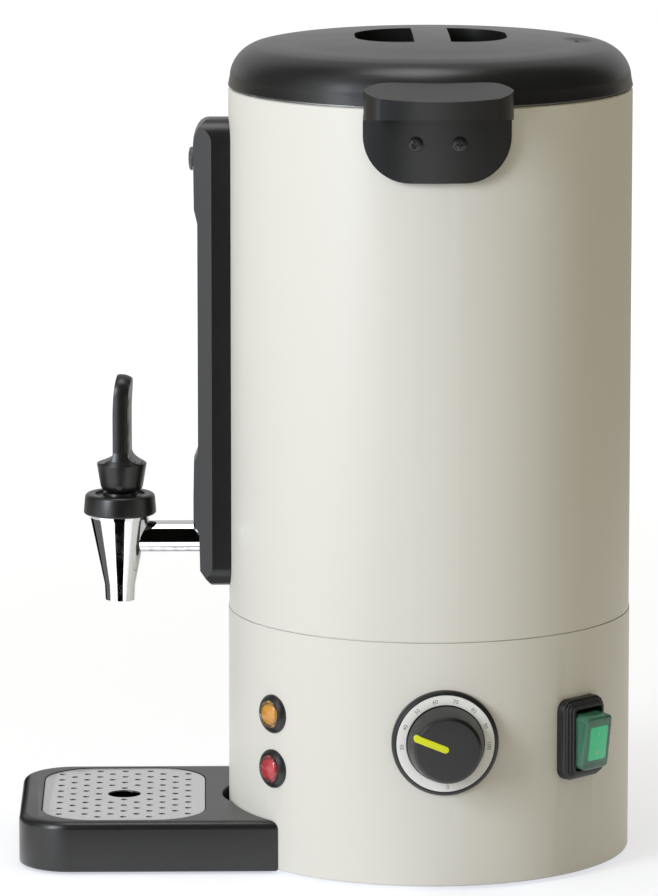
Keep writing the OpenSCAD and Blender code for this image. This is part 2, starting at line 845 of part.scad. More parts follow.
// Front line of the column from its lower to its upper end, as [depth, height]
function column_line(inset) =
    let (front = column_front - inset, boss = column_front + boss_rise - inset,
         side = column_side, z0 = column_z0 + inset, z1 = column_z1 - inset)
    concat([[-20, z0], [side, z0], [front - lower_step, z0 + 9.5], [front - 0.6, tap_z + 2.5],
            [boss + 0.4, tap_z + 11], [boss + 0.4, tap_z + 24], [boss, tap_z + 44.5],
            [front, tap_z + 50.5], [front, z1 - 59.5], [boss - 0.4, z1 - 51.5]],
        [for (a = [0:15:90]) [side + (boss - side) * cos(a), z1 - 16.5 + 16.5 * sin(a)]],
        [[-20, z1]]);

// The column's form, inset by a wall
module column_form(inset) {
    w = column_w / 2 - inset;
    flare = 6.5;
    intersection() {
        rotate([90, 0, 0]) translate([0, (column_z0 + column_z1) / 2, shell_r - 20])
            linear_extrude(60) rounded(column_w - 2 * inset, column_h - 2 * inset, column_r - inset);
        rotate([90, 0, -90]) linear_extrude(60, center = true)
            translate([shell_r, 0]) polygon(column_line(inset));
        translate([0, 0, column_z0 - CUT]) linear_extrude(column_h + 2 * CUT) polygon([
            [-w, -shell_r + 20], [-w, -shell_r - column_side],
            [-w + flare, -shell_r - column_front - boss_rise - 1],
            [w - flare, -shell_r - column_front - boss_rise - 1],
            [w, -shell_r - column_side], [w, -shell_r + 20]]);
    }
}

// Cylinder along Y about the column's middle line, between two distances from the axis
module outward(r, z, y0, y1) {
    translate([0, -y0, z]) rotate([90, 0, 0]) cylinder(r = r, h = y1 - y0);
}

column_head_r = 4.5;
column_seat = shell_r + column_front - 3;

module column_cover() {
    color(PLASTIC) outside(shell_r + 0.05) difference() {
        union() {
            difference() {
                column_form(0);
                column_form(column_t);
            }
            intersection() {
                column_form(column_t / 2);
                union() {
                    outward(7, column_screw_z, shell_r - 5, shell_r + 30);
                    translate([-20, -shell_r - 40, tube_z1 - 6]) cube([40, 50, 5]);
                }
            }
        }
        outward(2.3, column_screw_z, 0, shell_r + 40);
        outward(column_head_r, column_screw_z, column_seat, shell_r + 40);
        translate([0, -gauge_r, tube_z1 - 10]) cylinder(r = seal_r + FIT, h = 14);
        shank_hole_front();
        translate([0, -shell_r - column_front, (slot_z0 + slot_z1) / 2]) rotate([90, 0, 0])
            linear_extrude(20, center = true)
                rounded(slot_gauge_w, slot_z1 - slot_z0, slot_gauge_w / 2 - 0.01);
    }
}

module shank_hole_front() {
    outward(shank_r + FIT, tap_z, shell_r, shell_r + 60);
}

module column_screw() {
    color(STEEL) difference() {
        union() {
            outward(4, column_screw_z, column_seat, column_seat + 2.4);
            outward(2, column_screw_z, shell_ri - 4, column_seat + 1);
        }
        for (turn = [0, 90]) translate([0, -column_seat - 2.4, column_screw_z])
            rotate([0, turn, 0]) cube([4.4, 2.4, 0.9], center = true);
    }
}

module column_cap() {
    boss_x = shell_r + column_front + boss_rise;
    color("gray") rotate([90, 0, 0]) translate([0, column_screw_z, 0]) rotate_extrude()
        polygon([[0, column_seat + 2.6], [column_head_r - 0.1, column_seat + 2.6],
            [column_head_r - 0.1, boss_x], [cap_d / 2, boss_x], [cap_d / 2, boss_x + 1.2],
            [cap_d / 2 - 1, boss_x + 2.2], [0, boss_x + 2.6]]);
}

module sight_tube() {
    color([0.85, 0.9, 0.92, 0.4]) translate([0, -gauge_r, 0]) difference() {
        upright(tube_d / 2, tube_z0, tube_z1);
        upright(tube_d / 2 - tube_t, tube_z0 - CUT, tube_z1 + CUT);
    }
}

module tube_seals() {
    color("whitesmoke") translate([0, -gauge_r, 0]) {
        difference() {
            upright(seal_r, tube_z0 - 2, tube_z0 + 6);
            upright(tube_d / 2, tube_z0, tube_z0 + 7);
            upright(tube_d / 2 - tube_t, tube_z0 - 3, tube_z0 + 7);
        }
        difference() {
            upright(seal_r, tube_z1 - 7, tube_z1 + 2);
            upright(tube_d / 2, tube_z1 - 8, tube_z1);
            upright(1, tube_z1 - CUT, tube_z1 + 3);
        }
    }
}

module gauge_tee() {
    neck_r = 4.8;
    neck_z = tap_z + 12;
    socket_r = seal_r - 0.6;
    color(STEEL) difference() {
        union() {
            outward(shank_r + 2.6, tap_z, shell_r + 0.6, -shoulder_y - shoulder_t);
            translate([0, -gauge_r, 0]) rotate_extrude() polygon([
                [0, tap_z], [neck_r, tap_z], [neck_r, neck_z], [socket_r, neck_z + 2],
                [socket_r, tap_z + tee_rise], [0, tap_z + tee_rise]]);
        }
        outward(shank_r + RUN, tap_z, 0, shell_r + 60);
        translate([0, -gauge_r, 0]) upright(neck_r - 1.6, tap_z, tap_z + tee_rise + CUT);
    }
}

// ---------------------------------------------------------------- tap

module at_tap() {
    translate([0, tap_y, 0]) children();
}

spigot_len = 6;
boss_len = 19;

module tap_body() {
    cone_r = cone_d / 2;
    spout_r = spout_d / 2;
    color("silver") at_tap() difference() {
        union() {
            rotate_extrude($fn = 96) polygon([
                [0, spout_z0], [spout_r - 0.4, spout_z0], [spout_r, spout_z0 + 0.5],
                [spout_r + 0.2, spout_z1], [cone_r, cone_z1 - 4.4], [cone_r, cone_z1],
                [0, cone_z1]]);
            translate([0, 0, tap_z]) rotate([-90, 0, 0]) rotate_extrude() polygon([
                [0, 0], [shank_r + 1.2, 0], [shank_r + 1.2, boss_len - 3],
                [shank_r, boss_len], [0, boss_len]]);
        }
        rotate_extrude($fn = 96) polygon([
            [0, spout_z0 - CUT], [spout_bore / 2, spout_z0 - CUT], [spout_bore / 2, seat_z],
            [spout_bore / 2 + 1.3, seat_z + 1.3], [spout_bore / 2 + 1.5, seat_z + 3],
            [cone_r - 3, cone_z1 - 5], [cone_r - 3, cone_z1 + CUT], [0, cone_z1 + CUT]]);
        translate([0, 0, tap_z]) rotate([-90, 0, 0]) cylinder(r = shank_bore / 2, h = boss_len + CUT);
        translate([0, boss_len - spigot_len, tap_z]) rotate([-90, 0, 0])
            cylinder(r = shank_r - 1.6 + RUN, h = spigot_len + CUT);
    }
}

module tap_shank() {
    front = -(tap_y + boss_len);
    back = vessel_r - 9;
    color("silver") difference() {
        union() {
            outward(shank_r, tap_z, back, front);
            outward(shank_r - 1.6, tap_z, front - CUT, front + spigot_len - 0.3);
            outward(shoulder_r, tap_z, -shoulder_y - shoulder_t, -shoulder_y);
        }
        outward(shank_bore / 2, tap_z, back - CUT, front + spigot_len + CUT);
        translate([0, -gauge_r, 0]) upright(2, tap_z, tap_z + 20);
    }
}

gasket_r = shank_r + 5;
gasket_y = vessel_r - 3.4;

module shank_gaskets() {
    color("whitesmoke") difference() {
        union() {
            inside(vessel_r - 0.05) outward(gasket_r, tap_z, gasket_y, vessel_r + 5);
            inside(shell_ri - 0.05) outside(vessel_ro + 0.05)
                outward(gasket_r, tap_z, vessel_r - 5, shell_r);
        }
        shank_hole(RUN);
    }
}

module shank_nut() {
    color(STEEL) difference() {
        translate([0, -(gasket_y - 5), tap_z]) rotate([90, 0, 0]) cylinder(r = gasket_r, h = 5, $fn = 6);
        shank_hole(RUN);
    }
}

module bonnet() {
    r = bonnet_d / 2;
    pad_r = 9.6;
    groove_r = 14.2;
    color(PLASTIC) at_tap() rotate_extrude($fn = 96) polygon(concat(
        [[cone_d / 2 + FIT, bonnet_z0], [r - 0.8, bonnet_z0], [r, bonnet_z0 + 0.9]],
        arc([r - 4.6, bonnet_z1 - 1.9], 1.9, 15, 90, 5),
        [[groove_r, bonnet_z1], [groove_r, bonnet_z1 - 1.4], [pad_r, bonnet_z1 - 1.4],
         [pad_r, pad_z], [stem_r + RUN, pad_z], [stem_r + RUN, spring_z1],
         [6.4, spring_z1], [6.4, cone_z1 + 0.1], [cone_d / 2 + FIT, cone_z1 + 0.1]]));
}

module valve_stem() {
    color(STEEL) at_tap() difference() {
        union() {
            upright(stem_r, cup_z0 + 2, pin_z);
            translate([0, 0, pin_z]) rotate([0, 90, 0]) cylinder(r = eye_r, h = eye_w, center = true);
            upright(5.6, cup_z1, cup_z1 + 1);
        }
        translate([0, 0, pin_z]) rotate([0, 90, 0])
            cylinder(r = pin_r + RUN, h = eye_w + 2, center = true);
    }
}

module seat_cup() {
    lip = spout_bore / 2 + 0.3;
    color("whitesmoke") at_tap() rotate_extrude() polygon([
        [0, cup_z0], [lip, cup_z0], [lip + 0.9, cup_z0 + 0.9], [lip + 0.7, cup_z0 + 2.4],
        [lip - 1.6, cup_z0 + 4.6], [5.2, cup_z1], [stem_r + RUN, cup_z1],
        [stem_r + RUN, cup_z0 + 2], [0, cup_z0 + 2]]);
}

module tap_spring() {
    wire_r = 0.6;
    coil_r = 4.7;
    turns = 7;
    steps = 16;
    z0 = cup_z1 + 1 + wire_r + 0.1;
    z1 = spring_z1 - wire_r - 0.1;
    color(STEEL) at_tap() swept([for (i = [0:turns * steps])
        [coil_r * cos(360 * i / steps), coil_r * sin(360 * i / steps),
         z0 + (z1 - z0) * i / (turns * steps)]], wire_r);
}

// Middle line of the lever's blade: a gentle backward curve
function blade_y(t) = 1.2 + 2.6 * t * t;

module lever_blade() {
    z0 = pin_z + 14;
    z1 = pin_z + lever_h;
    steps = 8;
    neck_w = 13;
    intersection() {
        rotate([90, 0, 90]) linear_extrude(40, center = true) polygon(concat(
            [for (i = [0:steps]) let (t = i / steps)
                [blade_y(t) - blade_t / 2, z0 + (z1 - 2 - z0) * t]],
            arc([blade_y(1), z1 - blade_t / 2], blade_t / 2, 150, 30, 4),
            [for (i = [steps:-1:0]) let (t = i / steps)
                [blade_y(t) + blade_t / 2, z0 + (z1 - 2 - z0) * t]]));
        rotate([90, 0, 0]) linear_extrude(60, center = true) union() {
            polygon([[-neck_w / 2, z0], [neck_w / 2, z0], [blade_w / 2, z0 + 24],
                [blade_w / 2, z1 - blade_w / 2], [-blade_w / 2, z1 - blade_w / 2],
                [-blade_w / 2, z0 + 24]]);
            translate([0, z1 - blade_w / 2]) circle(d = blade_w);
        }
    }
}

module lever() {
    r1 = hub_d / 2;
    shoulder_z = pin_z + 12.4;
    color(PLASTIC) at_tap() difference() {
        union() {
            rotate_extrude($fn = 64) polygon(concat(
                [[0, hub_z0]],
                arc([hub_r0 - hub_round, hub_z0 + hub_round], hub_round, -90, 0, 6),
                [[r1, shoulder_z]],
                [for (a = [0:18:90])
                    [5 + (r1 - 5.6) * (1 - sin(a)), shoulder_z + 0.5 + 6 * (1 - cos(a))]],
                [[0, shoulder_z + 6.5]]));
            lever_blade();
        }
        translate([0, 0, pin_z]) rotate([0, 90, 0]) {
            cylinder(r = pin_r + 0.02, h = 60, center = true);
            cylinder(r = eye_r + 0.6, h = eye_w + 0.6, center = true);
        }
        translate([0, 0, pin_z]) rotate([90, 0, 90]) linear_extrude(eye_w + 0.6, center = true)
            polygon([[-eye_r - 0.6, 0], [-30, -10], [-30, -40], [12, -40], [eye_r + 0.6, 0]]);
    }
}

module lever_pin() {
    color(STEEL) translate([0, tap_y, pin_z]) rotate([0, 90, 0])
        cylinder(r = pin_r, h = hub_d - 4.6, center = true);
}

// ---------------------------------------------------------------- handles

ledge_x = shell_r + ledge_reach;
lid_clear_r = lid_r + lid_side_gap;

// Plan of the grip ledge, inset by a wall
module ledge_plan(inset) {
    back = shell_r - 30;
    bulge_r = 95;
    intersection() {
        translate([(back + ledge_x - inset) / 2, 0])
            rounded(ledge_x - inset - back, handle_w + 1.6 - 2 * inset, ledge_r - inset);
        translate([ledge_x - bulge_r, 0]) circle(r = bulge_r - inset, $fn = BIG);
    }
}

// Side view of the ledge from the shell to its lip, inset by a wall
module ledge_side(inset) {
    z1 = rim_z + ledge_rise;
    lip_z = z1 - ledge_fall;
    under = lip_z - lip_h;
    x0 = shell_r - 10;
    x1 = ledge_x + 1;
    polygon([[x0, under - 5 - inset * 6], [x0, z1 + 1 - inset * 1.05],
        [lid_clear_r + 1, z1 - inset * 1.05], [x1, lip_z - inset * 1.05], [x1, under - inset * 6]]);
}

module handle() {
    plate_z = rim_z - handle_drop;
    plate_h = handle_drop + ledge_rise;
    difference() {
        union() {
            intersection() {
                upright(shell_r + handle_t, plate_z, rim_z + ledge_rise, $fn = BIG);
                rotate([90, 0, 90]) translate([0, plate_z + plate_h]) linear_extrude(body_d)
                    rounded(handle_w, 2 * plate_h, handle_corner_r);
            }
            intersection() {
                translate([0, 0, rim_z - 20]) linear_extrude(60) ledge_plan(0);
                rotate([90, 0, 0]) linear_extrude(120, center = true) ledge_side(0);
            }
        }
        intersection() {
            translate([0, 0, rim_z - 30]) linear_extrude(70) ledge_plan(ledge_t);
            rotate([90, 0, 0]) linear_extrude(120, center = true) ledge_side(ledge_t);
            difference() {
                upright(body_d, rim_z - 30, rim_z + 40);
                upright(shell_r + handle_t + 0.6, rim_z - 40, rim_z + 50, $fn = BIG);
            }
        }
        upright(shell_r + 0.1, 0, rim_z + 60, $fn = BIG);
        upright(lid_clear_r, rim_z - lid_side_drop, rim_z + 60, $fn = BIG);
        for (k = [-1, 1])
            facing(k * asin(handle_screw_pitch / 2 / (shell_r + handle_t)), rim_z - handle_screw_drop)
                upright(2.3, shell_r - 5, shell_r + handle_t + 5);
    }
}

module right_handle() { color(PLASTIC) handle(); }

module left_handle() { color(PLASTIC) rotate([0, 0, 180]) handle(); }

module handle_screws() {
    seat = shell_r + handle_t + 0.1;
    color(RUBBER) handle_screw_places() difference() {
        union() {
            rotate_extrude() polygon([[0, seat], [4.15, seat], [4.15, seat + 0.8],
                [3.2, seat + 1.9], [1.6, seat + 2.4], [0, seat + 2.5]]);
            upright(2, shell_ri - 5, seat + 1);
        }
        for (turn = [0, 90]) translate([0, 0, seat + 2.4]) rotate([0, 0, turn])
            cube([4.2, 0.9, 2.6], center = true);
    }
}

module handle_backing_plates() {
    t = 1.6;
    plate_w = handle_screw_pitch + 24;
    plate_h = 18;
    z = rim_z - handle_screw_drop;
    color(STEEL) for (side = [0, 180]) difference() {
        intersection() {
            difference() {
                upright(shell_ri - 0.1, z - plate_h, z + plate_h, $fn = BIG);
                upright(shell_ri - 0.1 - t, z - plate_h - CUT, z + plate_h + CUT, $fn = BIG);
            }
            facing(side, z) linear_extrude(body_r) rounded(plate_w, plate_h, 3);
        }
        handle_screw_places() upright(2 + RUN, 0, body_r);
    }
}

// ---------------------------------------------------------------- drip tray

// Section through the tray's rounded edge, from the corner's centre outwards
module tray_edge() {
    e = tray_edge_r;
    polygon(concat(
        [[0, tray_bottom], [tray_r - 0.8, tray_bottom], [tray_r, tray_bottom + 0.8]],
        arc([tray_r - e, tray_z - e], e, 0, 90, 6),
        [[0, tray_z]]));
}

// The tray without its cuts: a front bar, two side bars and two quarter corners
module tray_blank() {
    half = tray_w / 2 - tray_r;
    back = -body_r / 2;
    translate([-half, tray_y0 + tray_r, tray_bottom])
        cube([2 * half, back - tray_y0 - tray_r, tray_z - tray_bottom]);
    translate([half, tray_y0 + tray_r, 0]) rotate([90, 0, -90]) linear_extrude(2 * half) tray_edge();
    for (side = [0, 1]) mirror([side, 0, 0]) {
        translate([half, back, 0]) rotate([90, 0, 0])
            linear_extrude(back - tray_y0 - tray_r) tray_edge();
        translate([half, tray_y0 + tray_r, 0]) rotate([0, 0, -90])
            rotate_extrude(angle = 90, $fn = 64) tray_edge();
    }
}

module grille_plan(grow) {
    translate([0, grille_y]) rounded(grille_w + 2 * grow, grille_l + 2 * grow, grille_r + grow);
}

notch_r = 47;
notch_y = -(body_r - 43);

module tray_body() {
    seat_z1 = grille_z - grille_rim_h;
    color(PLASTIC) difference() {
        outside(body_r + tray_gap) tray_blank();
        translate([0, 0, seat_z1]) linear_extrude(20) grille_plan(0.4);
        translate([0, 0, tray_bottom + tray_t]) linear_extrude(40) grille_plan(-basin_inset);
        translate([0, notch_y, -CUT]) cylinder(r = notch_r, h = tray_z + 10);
    }
}

module tray_feet() {
    color(RUBBER) for (x = [-1, 1], y = [tray_y0 + 28, grille_y + grille_l / 2 + 4])
        translate([x * (tray_w / 2 - 18), y, 0]) rotate_extrude() polygon([
            [0, 0], [5.4, 0], [6, 0.5], [6, tray_bottom], [0, tray_bottom]]);
}

// Centres of the drain holes: staggered rows that leave the finger hole's surround clear
function drain_places() =
    let (rows = floor((grille_w / 2 - 5) / (drain_pitch / 2)))
    [for (i = [-rows:rows]) let (x = i * drain_pitch / 2, shift = (i % 2 == 0) ? 0 : drain_pitch / 2)
        for (j = [-4:4]) let (y = j * drain_pitch + shift)
            if (abs(y) < grille_l / 2 - 5 && norm([x, y]) > finger_d / 2 + 4
                && (abs(x) < grille_w / 2 - grille_r || abs(y) < grille_l / 2 - grille_r
                    || norm([abs(x) - (grille_w / 2 - grille_r), abs(y) - (grille_l / 2 - grille_r)])
                        < grille_r - 5))
                [x, y]];

module tray_grille() {
    rim = 1.2;
    color("gainsboro") difference() {
        translate([0, 0, grille_z - grille_rim_h]) linear_extrude(grille_rim_h) grille_plan(0);
        translate([0, 0, grille_z - grille_rim_h - CUT])
            linear_extrude(grille_rim_h - grille_t + CUT) grille_plan(-rim);
        translate([0, grille_y, grille_z - 10]) {
            cylinder(d = finger_d, h = 20);
            for (p = drain_places()) translate(p) cylinder(d = drain_d, h = 20, $fn = 16);
        }
    }
}

// ---------------------------------------------------------------- lid

// Half section of the lid's outer form, inset by a wall
function lid_line(inset) =
    let (r0 = lid_r - shoulder_w, z0 = rim_z + lid_band_h, z1 = lid_top - crown_drop - inset,
         r1 = lid_r - inset, power = 2 / 1.7)
    concat([for (i = [0:6]) let (r = r0 * i / 6) [r, lid_top - inset - crown_drop * pow(r / r0, 2)]],
        [for (a = [10:10:90])
            [r0 + (r1 - r0) * pow(sin(a), power), z0 + (z1 - z0) * pow(cos(a), power)]]);

// One of the two finger pockets in plan, grown by a wall
module pocket_plan(side, grow) {
    intersection() {
        rounded(grip_l + 2 * grow, grip_w + 2 * grow, grip_r + grow);
        translate([-100, side > 0 ? grip_bar / 2 - grow : -100])
            square([200, 100 - grip_bar / 2 + grow]);
    }
}

pocket_z = lid_top - grip_depth;
vent_z = lid_top - crown_drop * pow(vent_r / (lid_r - shoulder_w), 2) - 1.6;

module lid_shell() {
    wall = 2.2;
    color(PLASTIC) difference() {
        union() {
            difference() {
                rotate_extrude($fn = BIG)
                    polygon(concat(lid_line(0), [[lid_r, lid_z0], [0, lid_z0]]));
                rotate_extrude($fn = BIG) polygon(concat(lid_line(lid_t),
                    [[lid_r - lid_t, lid_z0 - CUT], [0, lid_z0 - CUT]]));
            }
            intersection() {
                rotate_extrude($fn = BIG)
                    polygon(concat(lid_line(lid_t / 2), [[0, rim_z + lid_band_h]]));
                translate([0, 0, pocket_z - wall]) linear_extrude(40)
                    for (side = [-1, 1]) pocket_plan(side, wall);
            }
            for (a = lid_screw_az) rotate([0, 0, a]) translate([lid_screw_r, 0, 0])
                upright(boss_r, plug_z + liner_t, lid_top - crown_drop);
        }
        for (side = [-1, 1]) translate([0, 0, pocket_z]) linear_extrude(40) pocket_plan(side, 0);
        for (a = lid_screw_az) rotate([0, 0, a]) translate([lid_screw_r, 0, 0])
            upright(1.5 + 0.05, plug_z, plug_z + 14);
        translate([0, vent_r, vent_z]) linear_extrude(20) {
            square([14, 12], center = true);
            for (x = [-1, 1]) translate([x * 7, 0]) circle(r = 6);
        }
        for (y = [-3.4, 3.4]) translate([0, vent_r + y, lid_top - 20]) cylinder(r = 1.9, h = 40);
    }
}

module lid_liner() {
    t = liner_t;
    color(PLASTIC) difference() {
        rotate_extrude($fn = BIG) polygon([
            [0, plug_z], [plug_r - 1.5, plug_z], [plug_r, plug_z + 1.5], [plug_r, liner_z1],
            [plug_r - t, liner_z1], [plug_r - t, plug_z + t], [0, plug_z + t]]);
        for (a = lid_screw_az) rotate([0, 0, a]) translate([lid_screw_r, 0, 0])
            cylinder(r = 1.8, h = 2 * rim_z, center = true);
        translate([0, vent_r, 0]) cylinder(r = 2.5, h = 2 * rim_z, center = true);
    }
}

// Ring round the liner that clamps the seal
module lid_ring() {
    color(STEEL) difference() {
        upright(vessel_rim_r - 1, seal_z, liner_z1, $fn = BIG);
        upright(plug_r + FIT, seal_z - CUT, liner_z1 + CUT, $fn = BIG);
    }
}

module lid_seal() {
    color("whitesmoke") difference() {
        upright(vessel_rim_r - 1, vessel_rim_z, seal_z, $fn = BIG);
        upright(vessel_r + FIT, vessel_rim_z - CUT, seal_z + CUT, $fn = BIG);
    }
}

module lid_screws() {
    color(STEEL) for (a = lid_screw_az) rotate([0, 0, a]) translate([lid_screw_r, 0, plug_z])
        difference() {
            union() {
                translate([0, 0, -1.8]) cylinder(r1 = 2.4, r2 = 3, h = 1.8);
                cylinder(r = 1.5, h = 12);
            }
            for (turn = [0, 90]) translate([0, 0, -1.8]) rotate([0, 0, turn])
                cube([3.4, 0.7, 1.8], center = true);
        }
}

// ---------------------------------------------------------------- all pieces

base_housing();
base_plate();
rubber_feet();
base_screws();
outer_shell();
inner_vessel();
heat_spreader();
heating_element();
thermostat_body();
thermostat_bulb();
thermostat_shaft();
boil_dry_cutout();
reset_button();
terminal_block();
cable_gland();
gland_nut();
dial_bezel();
dial_scale_ring();
knob();
knob_pointer();
lamp_bezels();
amber_lens();
red_lens();
lamp_bodies();
switch_body();
switch_frame();
switch_boot();
rocker();
column_cover();
sight_tube();
tube_seals();
gauge_tee();
column_screw();
column_cap();
tap_body();
tap_shank();
shank_gaskets();
shank_nut();
bonnet();
valve_stem();
seat_cup();
tap_spring();
lever();
lever_pin();
right_handle();
left_handle();
handle_screws();
handle_backing_plates();
tray_body();
tray_feet();
tray_grille();
lid_shell();
lid_liner();
lid_ring();
lid_seal();
lid_screws();
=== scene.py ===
"""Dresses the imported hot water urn: finishes, rounded pieces, light and camera.

Each sub-assembly is a class. Its sizes are in millimetres, and MM turns them into metres.
+Z is up, the tap faces -Y, and the dial, the switch and one handle face +X.
"""

from __future__ import annotations

import json
import logging
import math
from dataclasses import dataclass, field
from enum import Enum
from typing import Sequence

import bmesh
import bpy
from mathutils import Matrix, Vector

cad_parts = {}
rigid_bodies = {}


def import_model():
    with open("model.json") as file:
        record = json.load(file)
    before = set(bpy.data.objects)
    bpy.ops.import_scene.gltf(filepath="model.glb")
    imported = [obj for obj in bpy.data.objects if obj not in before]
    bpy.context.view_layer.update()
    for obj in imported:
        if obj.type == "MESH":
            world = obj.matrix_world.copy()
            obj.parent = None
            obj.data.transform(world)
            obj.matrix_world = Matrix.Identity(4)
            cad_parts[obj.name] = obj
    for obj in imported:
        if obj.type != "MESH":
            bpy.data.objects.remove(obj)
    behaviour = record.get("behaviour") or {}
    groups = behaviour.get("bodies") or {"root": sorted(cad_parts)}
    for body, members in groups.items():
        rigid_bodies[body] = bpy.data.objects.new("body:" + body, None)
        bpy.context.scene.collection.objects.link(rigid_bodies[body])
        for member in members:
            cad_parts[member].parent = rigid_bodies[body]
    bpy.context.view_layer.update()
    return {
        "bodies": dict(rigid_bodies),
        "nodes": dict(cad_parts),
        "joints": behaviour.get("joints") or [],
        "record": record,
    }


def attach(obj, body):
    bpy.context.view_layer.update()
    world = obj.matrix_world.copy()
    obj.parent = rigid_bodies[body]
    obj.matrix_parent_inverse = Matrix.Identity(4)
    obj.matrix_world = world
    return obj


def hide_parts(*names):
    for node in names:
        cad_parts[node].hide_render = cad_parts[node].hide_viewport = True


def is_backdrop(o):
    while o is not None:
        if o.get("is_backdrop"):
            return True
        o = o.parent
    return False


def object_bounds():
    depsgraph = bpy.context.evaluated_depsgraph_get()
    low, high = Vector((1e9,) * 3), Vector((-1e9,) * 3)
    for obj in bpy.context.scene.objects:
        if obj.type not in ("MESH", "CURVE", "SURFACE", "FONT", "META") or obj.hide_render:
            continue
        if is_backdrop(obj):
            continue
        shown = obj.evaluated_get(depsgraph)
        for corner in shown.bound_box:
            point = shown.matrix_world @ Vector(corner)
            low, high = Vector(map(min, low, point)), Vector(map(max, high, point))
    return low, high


MM = 0.001
LOG = logging.getLogger("urn")
Outline = list[tuple[float, float]]
Corner = tuple[float, ...]
Colour = tuple[float, float, float]
Bands = tuple[tuple[float, float], ...]


class Slot(Enum):
    """The record's material slots."""

    PAINT = "painted_steel"
    STAINLESS = "stainless"
    GRILLE = "grille_steel"
    CHROME = "chrome"
    ALUMINIUM = "aluminium"
    ELEMENT = "element_sheath"
    COPPER = "copper"
    PLASTIC = "black_plastic"
    GLOSS = "gloss_black"
    DARK = "dark_plastic"
    SCREW = "black_screw"
    RUBBER = "rubber"
    SILICONE = "silicone"
    GREY = "grey_plastic"
    RED_KEY = "red_plastic"
    SCALE = "scale_silver"
    YELLOW = "pointer_yellow"
    AMBER = "amber_lens"
    RED = "red_lens"
    GREEN = "green_rocker"
    TUBE = "clear_tube"


class Trim(Enum):
    """Finishes of single pieces that differ from the plain finish of their slot."""

    WINDOW = "rocker_window"
    CORE = "rocker_core"
    AMBER_PRISM = "amber_prism"
    RED_PRISM = "red_prism"
    PRINT = "scale_print"


class Body(Enum):
    """The bodies that pieces ride on."""

    URN = "urn"
    KNOB = "knob"
    ROCKER = "rocker"
    LEVER = "lever"
    TRAY = "tray"
    GRILLE = "grille"
    LID = "lid"


# ---------------------------------------------------------------- shader trees


class Graph:
    """Adds and joins the nodes of one shader tree."""

    def __init__(self, tree: bpy.types.NodeTree) -> None:
        """Takes the tree that the nodes go into."""
        self.tree = tree

    def add(self, kind: str, **settings: object) -> bpy.types.Node:
        """Adds a node.

        Args:
            kind: the node's type name.
            settings: properties to set on it.

        Returns:
            The new node.
        """
        node = self.tree.nodes.new(kind)
        for key, value in settings.items():
            setattr(node, key, value)
        return node

    def join(self, source: bpy.types.NodeSocket, target: bpy.types.NodeSocket) -> None:
        """Links an output socket to an input socket."""
        self.tree.links.new(source, target)

    def math(self, operation: str, first: object, second: object = 0.0) -> bpy.types.NodeSocket:
        """Adds a math node.

        Args:
            operation: the name of the operation.
            first: a number or an output socket.
            second: a number or an output socket.

        Returns:
            The node's output socket.
        """
        node = self.add("ShaderNodeMath", operation=operation)
        for socket, value in zip(node.inputs, (first, second)):
            if isinstance(value, bpy.types.NodeSocket):
                self.join(value, socket)
            else:
                socket.default_value = value
        return node.outputs[0]

    def noise(self, place: bpy.types.NodeSocket, scale: object, detail: float = 3.0) -> bpy.types.NodeSocket:
        """Adds a noise texture.

        Args:
            place: the coordinates.
            scale: the number of features per metre, or a socket that holds it.
            detail: the number of octaves.

        Returns:
            The socket with the noise's value.
        """
        node = self.add("ShaderNodeTexNoise")
        node.inputs["Detail"].default_value = detail
        self.join(place, node.inputs["Vector"])
        if isinstance(scale, bpy.types.NodeSocket):
            self.join(scale, node.inputs["Scale"])
        else:
            node.inputs["Scale"].default_value = scale
        return node.outputs["Fac"]

    def bump(self, height: bpy.types.NodeSocket, depth: object, distance: float) -> bpy.types.NodeSocket:
        """Adds a bump node.

        Args:
            height: the socket with the height.
            depth: the strength, as a number or a socket.
            distance: the height of a full bump, in metres.

        Returns:
            The socket with the new normal.
        """
        node = self.add("ShaderNodeBump")
        node.inputs["Distance"].default_value = distance
        self.join(height, node.inputs["Height"])
        if isinstance(depth, bpy.types.NodeSocket):
            self.join(depth, node.inputs["Strength"])
        else:
            node.inputs["Strength"].default_value = depth
        return node.outputs["Normal"]


